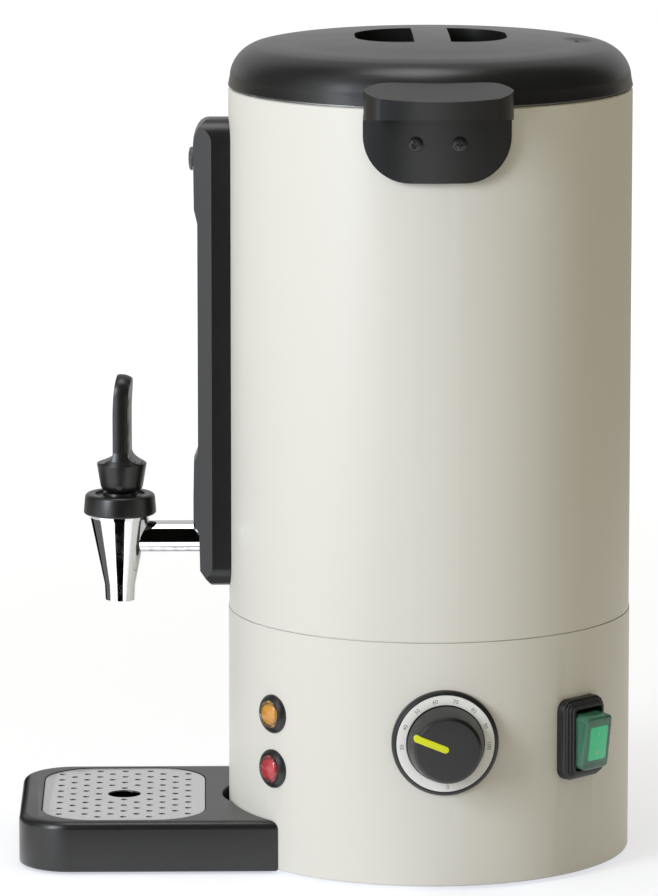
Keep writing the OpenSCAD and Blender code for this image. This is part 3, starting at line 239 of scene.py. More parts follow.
class Effects:
    """The shader groups that several finishes share, each built once."""

    def __init__(self) -> None:
        """Builds every group."""
        self.grain = self._grain()
        self.brushing = self._brushing()
        self.handling = self._handling()

    @staticmethod
    def _open(name: str, inputs: dict[str, str], outputs: dict[str, str]) -> tuple[Graph, object, object]:
        """Starts a group.

        Args:
            name: the group's name.
            inputs: socket types by input name.
            outputs: socket types by output name.

        Returns:
            The graph, its input node and its output node.
        """
        tree = bpy.data.node_groups.new(name, "ShaderNodeTree")
        for title, kind in inputs.items():
            tree.interface.new_socket(title, in_out="INPUT", socket_type=kind)
        for title, kind in outputs.items():
            tree.interface.new_socket(title, in_out="OUTPUT", socket_type=kind)
        graph = Graph(tree)
        return graph, graph.add("NodeGroupInput"), graph.add("NodeGroupOutput")

    def _grain(self) -> bpy.types.NodeTree:
        """Fine moulded or sprayed grain: a bump and a roughness that varies with it.

        Returns:
            The group's tree.
        """
        numbers = dict.fromkeys(("Fineness", "Depth", "Roughness", "Spread"), "NodeSocketFloat")
        graph, given, result = self._open(
            "surface_grain", numbers, {"Roughness": "NodeSocketFloat", "Normal": "NodeSocketVector"})
        place = graph.add("ShaderNodeTexCoord").outputs["Object"]
        fine = graph.noise(place, given.outputs["Fineness"], 4.0)
        broad = graph.noise(place, 38.0, 2.0)
        swing = graph.math("MULTIPLY", graph.math("SUBTRACT", broad, 0.5), given.outputs["Spread"])
        graph.join(graph.math("ADD", given.outputs["Roughness"], swing), result.inputs["Roughness"])
        graph.join(graph.bump(fine, given.outputs["Depth"], 0.0004), result.inputs["Normal"])
        return graph.tree

    def _brushing(self) -> bpy.types.NodeTree:
        """Brushed lines along one direction: a bump, a roughness and a shade.

        Returns:
            The group's tree.
        """
        numbers = dict.fromkeys(("Depth", "Roughness", "Spread"), "NodeSocketFloat")
        graph, given, result = self._open(
            "brushed_lines", {"Stretch": "NodeSocketVector", **numbers},
            {"Roughness": "NodeSocketFloat", "Shade": "NodeSocketFloat", "Normal": "NodeSocketVector"})
        place = graph.add("ShaderNodeTexCoord").outputs["Object"]
        stretched = graph.add("ShaderNodeVectorMath", operation="MULTIPLY")
        graph.join(place, stretched.inputs[0])
        graph.join(given.outputs["Stretch"], stretched.inputs[1])
        lines = graph.noise(stretched.outputs["Vector"], 1.0, 3.0)
        swing = graph.math("MULTIPLY", graph.math("SUBTRACT", lines, 0.5), given.outputs["Spread"])
        graph.join(graph.math("ADD", given.outputs["Roughness"], swing), result.inputs["Roughness"])
        graph.join(lines, result.inputs["Shade"])
        graph.join(graph.bump(lines, given.outputs["Depth"], 0.0002), result.inputs["Normal"])
        return graph.tree

    def _handling(self) -> bpy.types.NodeTree:
        """Soft marks of handling: a mask that is 1 where the finish is a little duller.

        Returns:
            The group's tree.
        """
        graph, given, result = self._open(
            "handling_marks", {"Size": "NodeSocketFloat", "Amount": "NodeSocketFloat"},
            {"Mask": "NodeSocketFloat"})
        place = graph.add("ShaderNodeTexCoord").outputs["Object"]
        cloud = graph.noise(place, given.outputs["Size"], 5.0)
        step = graph.add("ShaderNodeMapRange", interpolation_type="SMOOTHSTEP")
        step.inputs["From Min"].default_value = 0.45
        step.inputs["From Max"].default_value = 0.72
        graph.join(cloud, step.inputs["Value"])
        graph.join(graph.math("MULTIPLY", step.outputs["Result"], given.outputs["Amount"]),
                   result.inputs["Mask"])
        return graph.tree


# ---------------------------------------------------------------- finishes


@dataclass(frozen=True)
class Finish:
    """A finish and the values that its shader starts from."""

    slot: Slot | Trim
    colour: Colour
    roughness: float

    def start(self) -> tuple[bpy.types.Material, Graph, bpy.types.Node]:
        """Makes the material.

        Returns:
            The material, its graph and its Principled BSDF, with the plain values set.
        """
        material = bpy.data.materials.new("finish_" + self.slot.value)
        material.use_nodes = True
        shader = material.node_tree.nodes["Principled BSDF"]
        shader.inputs["Base Color"].default_value = (*self.colour, 1.0)
        shader.inputs["Roughness"].default_value = self.roughness
        material.diffuse_color = (*self.colour, 1.0)
        return material, Graph(material.node_tree), shader

    def build(self, effects: Effects) -> bpy.types.Material:
        """Builds the material, in the way of each kind of finish.

        Args:
            effects: the shared shader groups.

        Returns:
            The finished material.
        """
        raise NotImplementedError

    @staticmethod
    def place_group(graph: Graph, tree: bpy.types.NodeTree, **values: object) -> bpy.types.Node:
        """Places a shared group.

        Args:
            graph: the material's graph.
            tree: the group.
            values: its inputs by name, with underscores for spaces.

        Returns:
            The group's node.
        """
        node = graph.add("ShaderNodeGroup", node_tree=tree)
        for key, value in values.items():
            node.inputs[key.replace("_", " ")].default_value = value
        return node

    def blend_colour(self, graph: Graph, mask: bpy.types.NodeSocket, other: Colour) -> bpy.types.NodeSocket:
        """Blends the finish's colour towards another one.

        Args:
            graph: the material's graph.
            mask: 0 where the colour stays, and 1 where the other shows.
            other: the other colour.

        Returns:
            The socket with the blended colour.
        """
        mix = graph.add("ShaderNodeMix", data_type="RGBA")
        mix.inputs["A"].default_value = (*self.colour, 1.0)
        mix.inputs["B"].default_value = (*other, 1.0)
        graph.join(mask, mix.inputs["Factor"])
        return mix.outputs["Result"]


@dataclass(frozen=True)
class Moulded(Finish):
    """Moulded plastic, rubber or silicone with a fine grain; where glow is set, a painted glow brightens it
    like light.
    """

    fineness: float = 1500.0
    depth: float = 0.12
    spread: float = 0.08
    coat: float = 0.0
    marks: float = 0.25
    # glow: emission in the piece's own colour that brightens it beyond what the lamps give: painted light.
    glow: float = 0.0

    def build(self, effects: Effects) -> bpy.types.Material:
        """Builds the material.

        Args:
            effects: the shared shader groups.

        Returns:
            The finished material.
        """
        material, graph, shader = self.start()
        grain = self.place_group(graph, effects.grain, Fineness=self.fineness, Depth=self.depth,
                                 Roughness=self.roughness, Spread=self.spread)
        marks = self.place_group(graph, effects.handling, Size=24.0, Amount=self.marks)
        duller = tuple(min(1.0, c * 1.25 + 0.004) for c in self.colour)
        graph.join(grain.outputs["Roughness"], shader.inputs["Roughness"])
        graph.join(grain.outputs["Normal"], shader.inputs["Normal"])
        graph.join(self.blend_colour(graph, marks.outputs["Mask"], duller), shader.inputs["Base Color"])
        shader.inputs["Coat Weight"].default_value = self.coat
        shader.inputs["Coat Roughness"].default_value = 0.12
        # Painted light: the glow makes the piece shine in its own colour, brighter than the lamps light it.
        if self.glow:
            shader.inputs["Emission Color"].default_value = (*self.colour, 1.0)
            shader.inputs["Emission Strength"].default_value = self.glow
        return material


@dataclass(frozen=True)
class PowderPaint(Finish):
    """Powder-coated sheet: satin, with a faint orange peel and tone."""

    peel: float = 420.0
    depth: float = 0.05

    def build(self, effects: Effects) -> bpy.types.Material:
        """Builds the material.

        Args:
            effects: the shared shader groups.

        Returns:
            The finished material.
        """
        material, graph, shader = self.start()
        grain = self.place_group(graph, effects.grain, Fineness=self.peel, Depth=self.depth,
                                 Roughness=self.roughness, Spread=0.05)
        marks = self.place_group(graph, effects.handling, Size=7.0, Amount=0.35)
        tone = tuple(c * 0.985 for c in self.colour)
        graph.join(grain.outputs["Roughness"], shader.inputs["Roughness"])
        graph.join(grain.outputs["Normal"], shader.inputs["Normal"])
        graph.join(self.blend_colour(graph, marks.outputs["Mask"], tone), shader.inputs["Base Color"])
        shader.inputs["Specular IOR Level"].default_value = 0.42
        return material


@dataclass(frozen=True)
class Brushed(Finish):
    """Bare metal with brushed or drawn lines."""

    stretch: tuple[float, float, float] = (1800.0, 60.0, 60.0)
    depth: float = 0.2
    spread: float = 0.16

    def build(self, effects: Effects) -> bpy.types.Material:
        """Builds the material.

        Args:
            effects: the shared shader groups.

        Returns:
            The finished material.
        """
        material, graph, shader = self.start()
        lines = self.place_group(graph, effects.brushing, Stretch=self.stretch, Depth=self.depth,
                                 Roughness=self.roughness, Spread=self.spread)
        darker = tuple(c * 0.82 for c in self.colour)
        shader.inputs["Metallic"].default_value = 1.0
        graph.join(lines.outputs["Roughness"], shader.inputs["Roughness"])
        graph.join(lines.outputs["Normal"], shader.inputs["Normal"])
        graph.join(self.blend_colour(graph, lines.outputs["Shade"], darker), shader.inputs["Base Color"])
        return material


@dataclass(frozen=True)
class Polished(Finish):
    """Mirror-bright plating with faint water marks."""

    def build(self, effects: Effects) -> bpy.types.Material:
        """Builds the material.

        Args:
            effects: the shared shader groups.

        Returns:
            The finished material.
        """
        material, graph, shader = self.start()
        marks = self.place_group(graph, effects.handling, Size=90.0, Amount=0.05)
        shader.inputs["Metallic"].default_value = 1.0
        graph.join(graph.math("ADD", marks.outputs["Mask"], self.roughness), shader.inputs["Roughness"])
        return material


@dataclass(frozen=True)
class Clear(Finish):
    """Glass or clear tinted plastic that light passes through."""

    transmission: float = 1.0
    ior: float = 1.49

    def build(self, effects: Effects) -> bpy.types.Material:
        """Builds the material.

        Args:
            effects: the shared shader groups.

        Returns:
            The finished material.
        """
        material, graph, shader = self.start()
        marks = self.place_group(graph, effects.handling, Size=160.0, Amount=0.08)
        shader.inputs["Transmission Weight"].default_value = self.transmission
        shader.inputs["IOR"].default_value = self.ior
        graph.join(graph.math("ADD", marks.outputs["Mask"], self.roughness), shader.inputs["Roughness"])
        return material


FINISHES: tuple[Finish, ...] = (
    PowderPaint(Slot.PAINT, (0.79, 0.775, 0.735), 0.42),
    Brushed(Slot.STAINLESS, (0.6, 0.6, 0.6), 0.28),
    Brushed(Slot.GRILLE, (0.9, 0.9, 0.9), 0.3, stretch=(40.0, 1400.0, 40.0)),
    Polished(Slot.CHROME, (0.8, 0.8, 0.81), 0.03),
    Brushed(Slot.ALUMINIUM, (0.68, 0.68, 0.69), 0.4, stretch=(300.0, 300.0, 300.0)),
    Brushed(Slot.ELEMENT, (0.2, 0.19, 0.19), 0.5, stretch=(220.0, 220.0, 220.0)),
    Brushed(Slot.COPPER, (0.62, 0.3, 0.17), 0.32, stretch=(500.0, 500.0, 40.0)),
    Moulded(Slot.PLASTIC, (0.011, 0.011, 0.0108), 0.31, spread=0.06, marks=0.15),
    Moulded(Slot.GLOSS, (0.009, 0.009, 0.0088), 0.36, depth=0.05, spread=0.05, marks=0.1),
    Moulded(Slot.DARK, (0.03, 0.03, 0.029), 0.6),
    Moulded(Slot.SCREW, (0.022, 0.022, 0.022), 0.3, fineness=900.0, depth=0.06),
    Moulded(Slot.RUBBER, (0.014, 0.014, 0.014), 0.55, fineness=900.0, depth=0.2),
    Moulded(Slot.SILICONE, (0.72, 0.74, 0.66), 0.45, depth=0.05),
    Moulded(Slot.GREY, (0.09, 0.09, 0.09), 0.36),
    Moulded(Slot.RED_KEY, (0.42, 0.02, 0.02), 0.35),
    Moulded(Slot.SCALE, (0.94, 0.94, 0.94), 0.3, fineness=700.0, depth=0.05, coat=0.2, marks=0.0),
    Moulded(Slot.YELLOW, (0.78, 0.82, 0.015), 0.4, depth=0.05, marks=0.0),
    Clear(Slot.AMBER, (0.82, 0.62, 0.36), 0.06, transmission=0.92),
    Clear(Slot.RED, (0.8, 0.36, 0.38), 0.06, transmission=0.92),
    Clear(Slot.GREEN, (0.22, 0.6, 0.42), 0.12, transmission=0.8),
    Clear(Slot.TUBE, (0.93, 0.96, 0.95), 0.04),
    # The window's glow is painted light that makes it bright.
    Moulded(Trim.WINDOW, (0.01, 0.4, 0.17), 0.3, depth=0.04, coat=0.3, marks=0.0, glow=0.4),
    Moulded(Trim.CORE, (0.02, 0.13, 0.075), 0.4, depth=0.04),
    Moulded(Trim.PRINT, (0.24, 0.24, 0.24), 0.5, depth=0.02),
    Moulded(Trim.AMBER_PRISM, (0.9, 0.5, 0.03), 0.2, fineness=900.0, depth=1.0, coat=0.4, marks=0.0),
    Moulded(Trim.RED_PRISM, (0.7, 0.02, 0.05), 0.2, fineness=900.0, depth=1.0, coat=0.4, marks=0.0),
)


# ---------------------------------------------------------------- modelling


def filleted(corners: Sequence[Corner], closed: bool = True, steps: int = 5) -> Outline:
    """Rounds the corners of an outline with arcs.

    Args:
        corners: points as (x, y) or, where the corner is rounded, (x, y, radius).
        closed: whether the last point joins the first.
        steps: the number of segments in each arc.

    Returns:
        The outline's points.
    """
    points: Outline = []
    count = len(corners)
    for i, corner in enumerate(corners):
        here = Vector(corner[:2])
        radius = corner[2] if len(corner) > 2 else 0.0
        if radius <= 0.0 or (not closed and i in (0, count - 1)):
            points.append(tuple(here))
            continue
        back = (Vector(corners[i - 1][:2]) - here).normalized()
        ahead = (Vector(corners[(i + 1) % count][:2]) - here).normalized()
        half = back.angle(ahead) / 2
        middle = here + (back + ahead).normalized() * radius / math.sin(half)
        first = here + back * radius / math.tan(half) - middle
        last = here + ahead * radius / math.tan(half) - middle
        sweep = first.angle_signed(last)
        for k in range(steps + 1):
            angle = -sweep * k / steps
            turned = Vector((first.x * math.cos(angle) - first.y * math.sin(angle),
                             first.x * math.sin(angle) + first.y * math.cos(angle)))
            points.append(tuple(middle + turned))
    return points


def rounded_rectangle(width: float, height: float, radius: float, steps: int = 8) -> Outline:
    """A centred rectangle with round corners, in millimetres."""
    w, h = width / 2, height / 2
    return filleted([(w, -h, radius), (w, h, radius), (-w, h, radius), (-w, -h, radius)], steps=steps)


def circle(radius: float, steps: int = 8) -> Outline:
    """A centred circle made of four arcs, in millimetres."""
    return rounded_rectangle(2 * radius, 2 * radius, radius - 0.01, steps)


def facing(azimuth: float, height: float, out: float = 0.0) -> Matrix:
    """A place on the urn's wall, in millimetres.

    Args:
        azimuth: the direction it faces, in degrees.
        height: its height over the floor.
        out: its distance from the urn's axis.

    Returns:
        A matrix whose Z points outwards, whose Y points up, and whose X points to the right of
        someone who faces the place.
    """
    wall = Matrix(((0, 0, 1, 0), (1, 0, 0, 0), (0, 1, 0, height), (0, 0, 0, 1)))
    return Matrix.Rotation(math.radians(azimuth), 4, "Z") @ wall @ Matrix.Translation((0, 0, out))


class Form:
    """A mesh under construction, in millimetres, that ends as an object in metres."""

    def __init__(self) -> None:
        """Starts with an empty mesh."""
        self.bm = bmesh.new()

    def _place(self, before: set, place: Matrix) -> None:
        """Moves the vertices that aren't in the set before to their place."""
        new = [v for v in self.bm.verts if v not in before]
        bmesh.ops.transform(self.bm, matrix=place, verts=new)

    def lathe(self, outline: Outline, place: Matrix = Matrix(), steps: int = 96, closed: bool = True) -> Form:
        """Revolves a half section about its Z axis.

        Args:
            outline: points as (radius, height).
            place: where the piece goes.
            steps: the number of segments round the axis.
            closed: whether the section's last point joins its first; if not, both lie on the axis.

        Returns:
            This form.
        """
        before = set(self.bm.verts)
        verts = [self.bm.verts.new((x, 0.0, z)) for x, z in outline]
        pairs = list(zip(verts, verts[1:])) + ([(verts[-1], verts[0])] if closed else [])
        edges = [self.bm.edges.new(pair) for pair in pairs]
        bmesh.ops.spin(self.bm, geom=verts + edges, cent=(0, 0, 0), axis=(0, 0, 1), dvec=(0, 0, 0),
                       angle=math.tau, steps=steps, use_merge=True, use_duplicate=False)
        new = [v for v in self.bm.verts if v not in before]
        bmesh.ops.remove_doubles(self.bm, verts=new, dist=1e-3)
        self._place(before, place)
        return self

    def prism(self, outline: Outline, low: float, high: float, place: Matrix = Matrix(),
              edge: float = 0.0, segments: int = 3) -> Form:
        """Extrudes a flat outline along its Z axis and rounds its upper and lower edges.

        Args:
            outline: points as (x, y).
            low: the height of its lower face.
            high: the height of its upper face.
            place: where the piece goes.
            edge: the radius along the two outlines.
            segments: the number of segments in that radius.

        Returns:
            This form.
        """
        before = set(self.bm.verts)
        face = self.bm.faces.new([self.bm.verts.new((x, y, low)) for x, y in outline])
        grown = bmesh.ops.extrude_face_region(self.bm, geom=[face])["geom"]
        top = [g for g in grown if isinstance(g, bmesh.types.BMVert)]
        bmesh.ops.translate(self.bm, vec=(0, 0, high - low), verts=top)
        if edge > 0.0:
            rims = [e for e in self.bm.edges if e.verts[0] not in before
                    and abs(e.verts[0].co.z - e.verts[1].co.z) < 1e-6]
            bmesh.ops.bevel(self.bm, geom=rims, offset=edge, segments=segments, profile=0.5,
                            affect="EDGES", material=-1, clamp_overlap=True)
        self._place(before, place)
        return self

    def copy_of(self, node: bpy.types.Object, seam: float = 0.6) -> Form:
        """Adds a merged copy of a solid's mesh.

        Args:
            node: the solid's object.
            seam: the angle in degrees under which neighbouring faces become one.

        Returns:
            This form.
        """
        before = set(self.bm.verts)
        self.bm.from_mesh(node.data)
        new = [v for v in self.bm.verts if v not in before]
        bmesh.ops.scale(self.bm, vec=(1 / MM,) * 3, verts=new)
        bmesh.ops.remove_doubles(self.bm, verts=new, dist=2e-3)
        bmesh.ops.dissolve_limit(self.bm, angle_limit=math.radians(seam), verts=self.bm.verts,
                                 edges=self.bm.edges)
        return self

    def make(self, name: str, sharp: float = 35.0, recalculate: bool = True) -> bpy.types.Object:
        """Ends the mesh.

        Args:
            name: the piece's name.
            sharp: the angle in degrees over which an edge stays sharp in the shading.
            recalculate: whether the faces are turned outwards.

        Returns:
            The object, in metres, with its place in its mesh.
        """
        if recalculate:
            bmesh.ops.recalc_face_normals(self.bm, faces=self.bm.faces)
        bmesh.ops.scale(self.bm, vec=(MM,) * 3, verts=self.bm.verts)
        mesh = bpy.data.meshes.new(name)
        self.bm.to_mesh(mesh)
        self.bm.free()
        mesh.shade_smooth()
        mesh.set_sharp_from_angle(angle=math.radians(sharp))
        piece = bpy.data.objects.new(name, mesh)
        bpy.context.scene.collection.objects.link(piece)
        return piece


def soften(piece: bpy.types.Object, width: float, segments: int = 3, angle: float = 38.0) -> bpy.types.Object:
    """Rounds a piece's sharp edges.

    Args:
        piece: the piece.
        width: the bevel's width, in millimetres.
        segments: the number of segments in the bevel.
        angle: the angle in degrees over which an edge is rounded.

    Returns:
        The piece.
    """
    bevel = piece.modifiers.new("soft_edges", "BEVEL")
    bevel.width = width * MM
    bevel.segments = segments
    bevel.limit_method = "ANGLE"
    bevel.angle_limit = math.radians(angle)
    bevel.harden_normals = True
    bevel.miter_outer = "MITER_ARC"
    return piece


def cut(piece: bpy.types.Object, tool: bpy.types.Object, work: str = "DIFFERENCE") -> bpy.types.Object:
    """Takes a tool's form from a piece, adds it, or keeps what both share.

    Args:
        piece: the piece to change.
        tool: the form, which is deleted afterwards.
        work: DIFFERENCE, UNION or INTERSECT.

    Returns:
        The piece, with the change in its mesh.
    """
    change = piece.modifiers.new("cut", "BOOLEAN")
    change.operation = work
    change.solver = "EXACT"
    change.object = tool
    bpy.context.view_layer.update()
    graph = bpy.context.evaluated_depsgraph_get()
    mesh = bpy.data.meshes.new_from_object(piece.evaluated_get(graph))
    piece.modifiers.clear()
    piece.data = mesh
    bpy.data.objects.remove(tool)
    return piece


def lettering(name: str, text: str, size: float, place: Matrix, raise_by: float = 0.02) -> bpy.types.Object:
    """Makes raised lettering, centred on its place.

    Args:
        name: the piece's name.
        text: what it says.
        size: the height of the letters, in millimetres.
        place: its place, in millimetres, with its Y up along the letters.
        raise_by: half of its thickness, in millimetres.

    Returns:
        The lettering as a mesh piece.
    """
    curve = bpy.data.curves.new(name, "FONT")
    curve.body = text
    curve.size = size
    curve.align_x = "CENTER"
    curve.align_y = "CENTER"
    curve.extrude = raise_by
    curve.resolution_u = 3
    words = bpy.data.objects.new(name + "_words", curve)
    bpy.context.scene.collection.objects.link(words)
    bpy.context.view_layer.update()
    mesh = bpy.data.meshes.new_from_object(words)
    bpy.data.objects.remove(words)
    mesh.transform(Matrix.Scale(MM, 4) @ place)
    piece = bpy.data.objects.new(name, mesh)
    bpy.context.scene.collection.objects.link(piece)
    return piece


# ---------------------------------------------------------------- workshop


@dataclass
class Workshop:
    """Holds the frame and the finishes, and hands each piece its finish and its body."""

    nodes: dict[str, bpy.types.Object]
    slots: dict[str, str]
    finishes: dict[Slot | Trim, bpy.types.Material] = field(default_factory=dict)

    def mix_finishes(self) -> None:
        """Makes every finish once."""
        effects = Effects()
        for finish in FINISHES:
            self.finishes[finish.slot] = finish.build(effects)

    def dress(self, piece: bpy.types.Object, slot: Slot | Trim) -> bpy.types.Object:
        """Gives a piece its finish.

        Args:
            piece: the piece.
            slot: the slot or the trim that names the finish.

        Returns:
            The piece.
        """
        piece.data.materials.clear()
        piece.data.materials.append(self.finishes[slot])
        return piece

    def dress_solids(self) -> None:
        """Gives every solid of the frame the finish of its slot."""
        for name, node in self.nodes.items():
            finish = self.finishes[Slot(self.slots[name])]
            if not node.data.materials:
                node.data.materials.append(finish)
            for index in range(len(node.data.materials)):
                node.data.materials[index] = finish

    def keep(self, piece: bpy.types.Object, body: Body, slot: Slot, *stands_for: str,
             trim: Trim | None = None) -> bpy.types.Object:
        """Hands over a finished piece.

        Args:
            piece: the piece.
            body: the body that it rides on.
            slot: the slot of its finish.
            stands_for: the solids that it replaces.
            trim: its own finish, where it isn't the slot's plain one.

        Returns:
            The piece.
        """
        self.dress(piece, trim or slot)
        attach(piece, body.value)
        if stands_for:
            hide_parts(*stands_for)
        LOG.info("%s rides on %s and stands for %s", piece.name, body.value, stands_for or "nothing")
        return piece

    def recast(self, node: str, body: Body, width: float, angle: float = 38.0) -> bpy.types.Object:
        """Makes a smooth copy of a solid with soft edges, which replaces it.

        Args:
            node: the solid's name.
            body: the body that it rides on.
            width: the width of its soft edges, in millimetres.
            angle: the angle in degrees over which an edge is softened.

        Returns:
            The piece.
        """
        piece = Form().copy_of(self.nodes[node]).make(node + "_skin", recalculate=False)
        if width > 0.0:
            soften(piece, width, angle=angle)
        return self.keep(piece, body, Slot(self.slots[node]), node)


# ---------------------------------------------------------------- sub-assemblies


@dataclass
class Casing:
    """The painted housing and shell."""

    edge: float = 0.25

    def build(self, shop: Workshop) -> None:
        """Makes the two painted pieces."""
        for node in ("base_housing", "outer_shell"):
            shop.recast(node, Body.URN, self.edge)


@dataclass
class Lid:
    """The lid's crown with its grip recess, and its liner."""

    radius: float = 114.7
    low: float = 441.0
    band_top: float = 446.4
    band_radius: float = 113.7
    top: float = 470.0
    crown_drop: float = 4.7
    flat: float = 89.4
    wall: float = 3.0
    power_out: float = 0.82
    power_down: float = 1.12
    grip_across: float = 86.0
    grip_along: float = 74.0
    grip_corner: float = 29.0
    bar: float = 20.5
    pocket_floor: float = 451.0
    pocket_wall: float = 2.2
    vent_y: float = 83.0
    vent_size: tuple[float, float] = (26.0, 19.0)
    vent_depth: float = 1.4
    vent_ball: float = 12.0
    vent_hole: float = 1.3
    vent_pitch: float = 5.0
    vent_reach: float = 22.0
    cup_drop: float = 3.6
    foot_edge: float = 0.4
    edge: float = 0.7
    liner_edge: float = 0.3
    steps: int = 24
    blend_reach: int = 5
    blend_passes: int = 10

    def crown_height(self, radius: float, inset: float = 0.0) -> float:
        """Height of the crown's surface at a radius inside the shoulder."""
        return self.top - inset - self.crown_drop * (radius / self.flat) ** 2

    def section(self, inset: float) -> Outline:
        """Half section of the crown from its centre to its edge.

        Args:
            inset: how far it lies inside the outer surface.

        Returns:
            Points as (radius, height), with the joint of flat and shoulder smoothed.
        """
        steps = self.steps
        radii = [self.flat * i / steps for i in range(steps + 1)]
        line = [(radius, self.crown_height(radius, inset)) for radius in radii]
        drop = self.top - self.crown_drop - inset - self.band_top
        wide = self.band_radius - self.flat - inset
        for i in range(1, steps + 1):
            turn = math.pi / 2 * i / steps
            line.append((self.flat + wide * math.sin(turn) ** self.power_out,
                         self.band_top + drop * max(math.cos(turn), 0.0) ** self.power_down))
        for _ in range(self.blend_passes):
            for i in range(steps - self.blend_reach + 1, steps + self.blend_reach + 1):
                (_, before), (radius, here), (_, after) = line[i - 1:i + 2]
                line[i] = (radius, here / 2 + (before + after) / 4)
        return line

    def pocket(self, side: int, grow: float) -> Outline:
        """Plan of one finger pocket.

        Args:
            side: the side of the bar, +1 or -1.
            grow: how far it is grown on every side.

        Returns:
            Points as (x, y).
        """
        half, across = self.grip_along / 2 + grow, self.grip_across / 2 + grow
        corner = self.grip_corner + grow
        near = self.bar / 2 - grow
        return filleted([(half, side * near), (half, side * across, corner),
                         (-half, side * across, corner), (-half, side * near)], steps=14)

    def dimple(self) -> bpy.types.Object:
        """The form of the vent's shallow oval dimple: a flattened ball that dips into the crown.

        Returns:
            The form, to be cut from the crown.
        """
        length, width = self.vent_size
        slope = math.atan(2 * self.crown_drop * self.vent_y / self.flat ** 2)
        ball = self.vent_ball
        reach = math.sqrt(ball ** 2 - (ball - self.vent_depth) ** 2)
        line = [(ball * math.sin(math.pi * i / 24), -ball * math.cos(math.pi * i / 24)) for i in range(25)]
        place = (Matrix.Translation((0, self.vent_y, self.crown_height(self.vent_y)))
                 @ Matrix.Rotation(-slope, 4, "X")
                 @ Matrix.Diagonal((length / 2 / reach, width / 2 / reach, 1.0, 1.0))
                 @ Matrix.Translation((0, 0, ball - self.vent_depth)))
        return Form().lathe(line, place, 64, closed=False).make("dimple")

    def build(self, shop: Workshop) -> None:
        """Makes the crown and softens its liner.

        Args:
            shop: the workshop that takes the pieces.
        """
        edge = [(self.radius, self.low + self.foot_edge), (self.radius - self.foot_edge, self.low),
                (self.radius - self.wall, self.low)]
        outer = self.section(0.0)[1:] + edge
        inner = self.section(self.wall)[::-1]
        crown = Form().lathe([(0.0, self.top)] + outer + inner, steps=192, closed=False).make("crown")
        for side in (-1, 1):
            cup = Form().prism(self.pocket(side, self.pocket_wall), self.pocket_floor - self.pocket_wall,
                               self.top - self.cup_drop).make("cup")
            crown = cut(crown, cup, "UNION")
        for side in (-1, 1):
            hollow = Form().prism(self.pocket(side, 0.0), self.pocket_floor, self.top + 5).make("hollow")
            crown = cut(crown, hollow)
        crown = cut(crown, self.dimple())
        for offset in (-self.vent_pitch, 0.0, self.vent_pitch):
            hole = Form().prism(circle(self.vent_hole), self.top - self.vent_reach, self.top + 5,
                                Matrix.Translation((offset, self.vent_y, 0))).make("hole")
            crown = cut(crown, hole)
        crown.name = "lid_crown"
        crown.data.shade_smooth()
        crown.data.set_sharp_from_angle(angle=math.radians(30))
        soften(crown, self.edge, angle=50)
        shop.keep(crown, Body.LID, Slot.PLASTIC, "lid_shell")
        shop.recast("lid_liner", Body.LID, self.liner_edge)


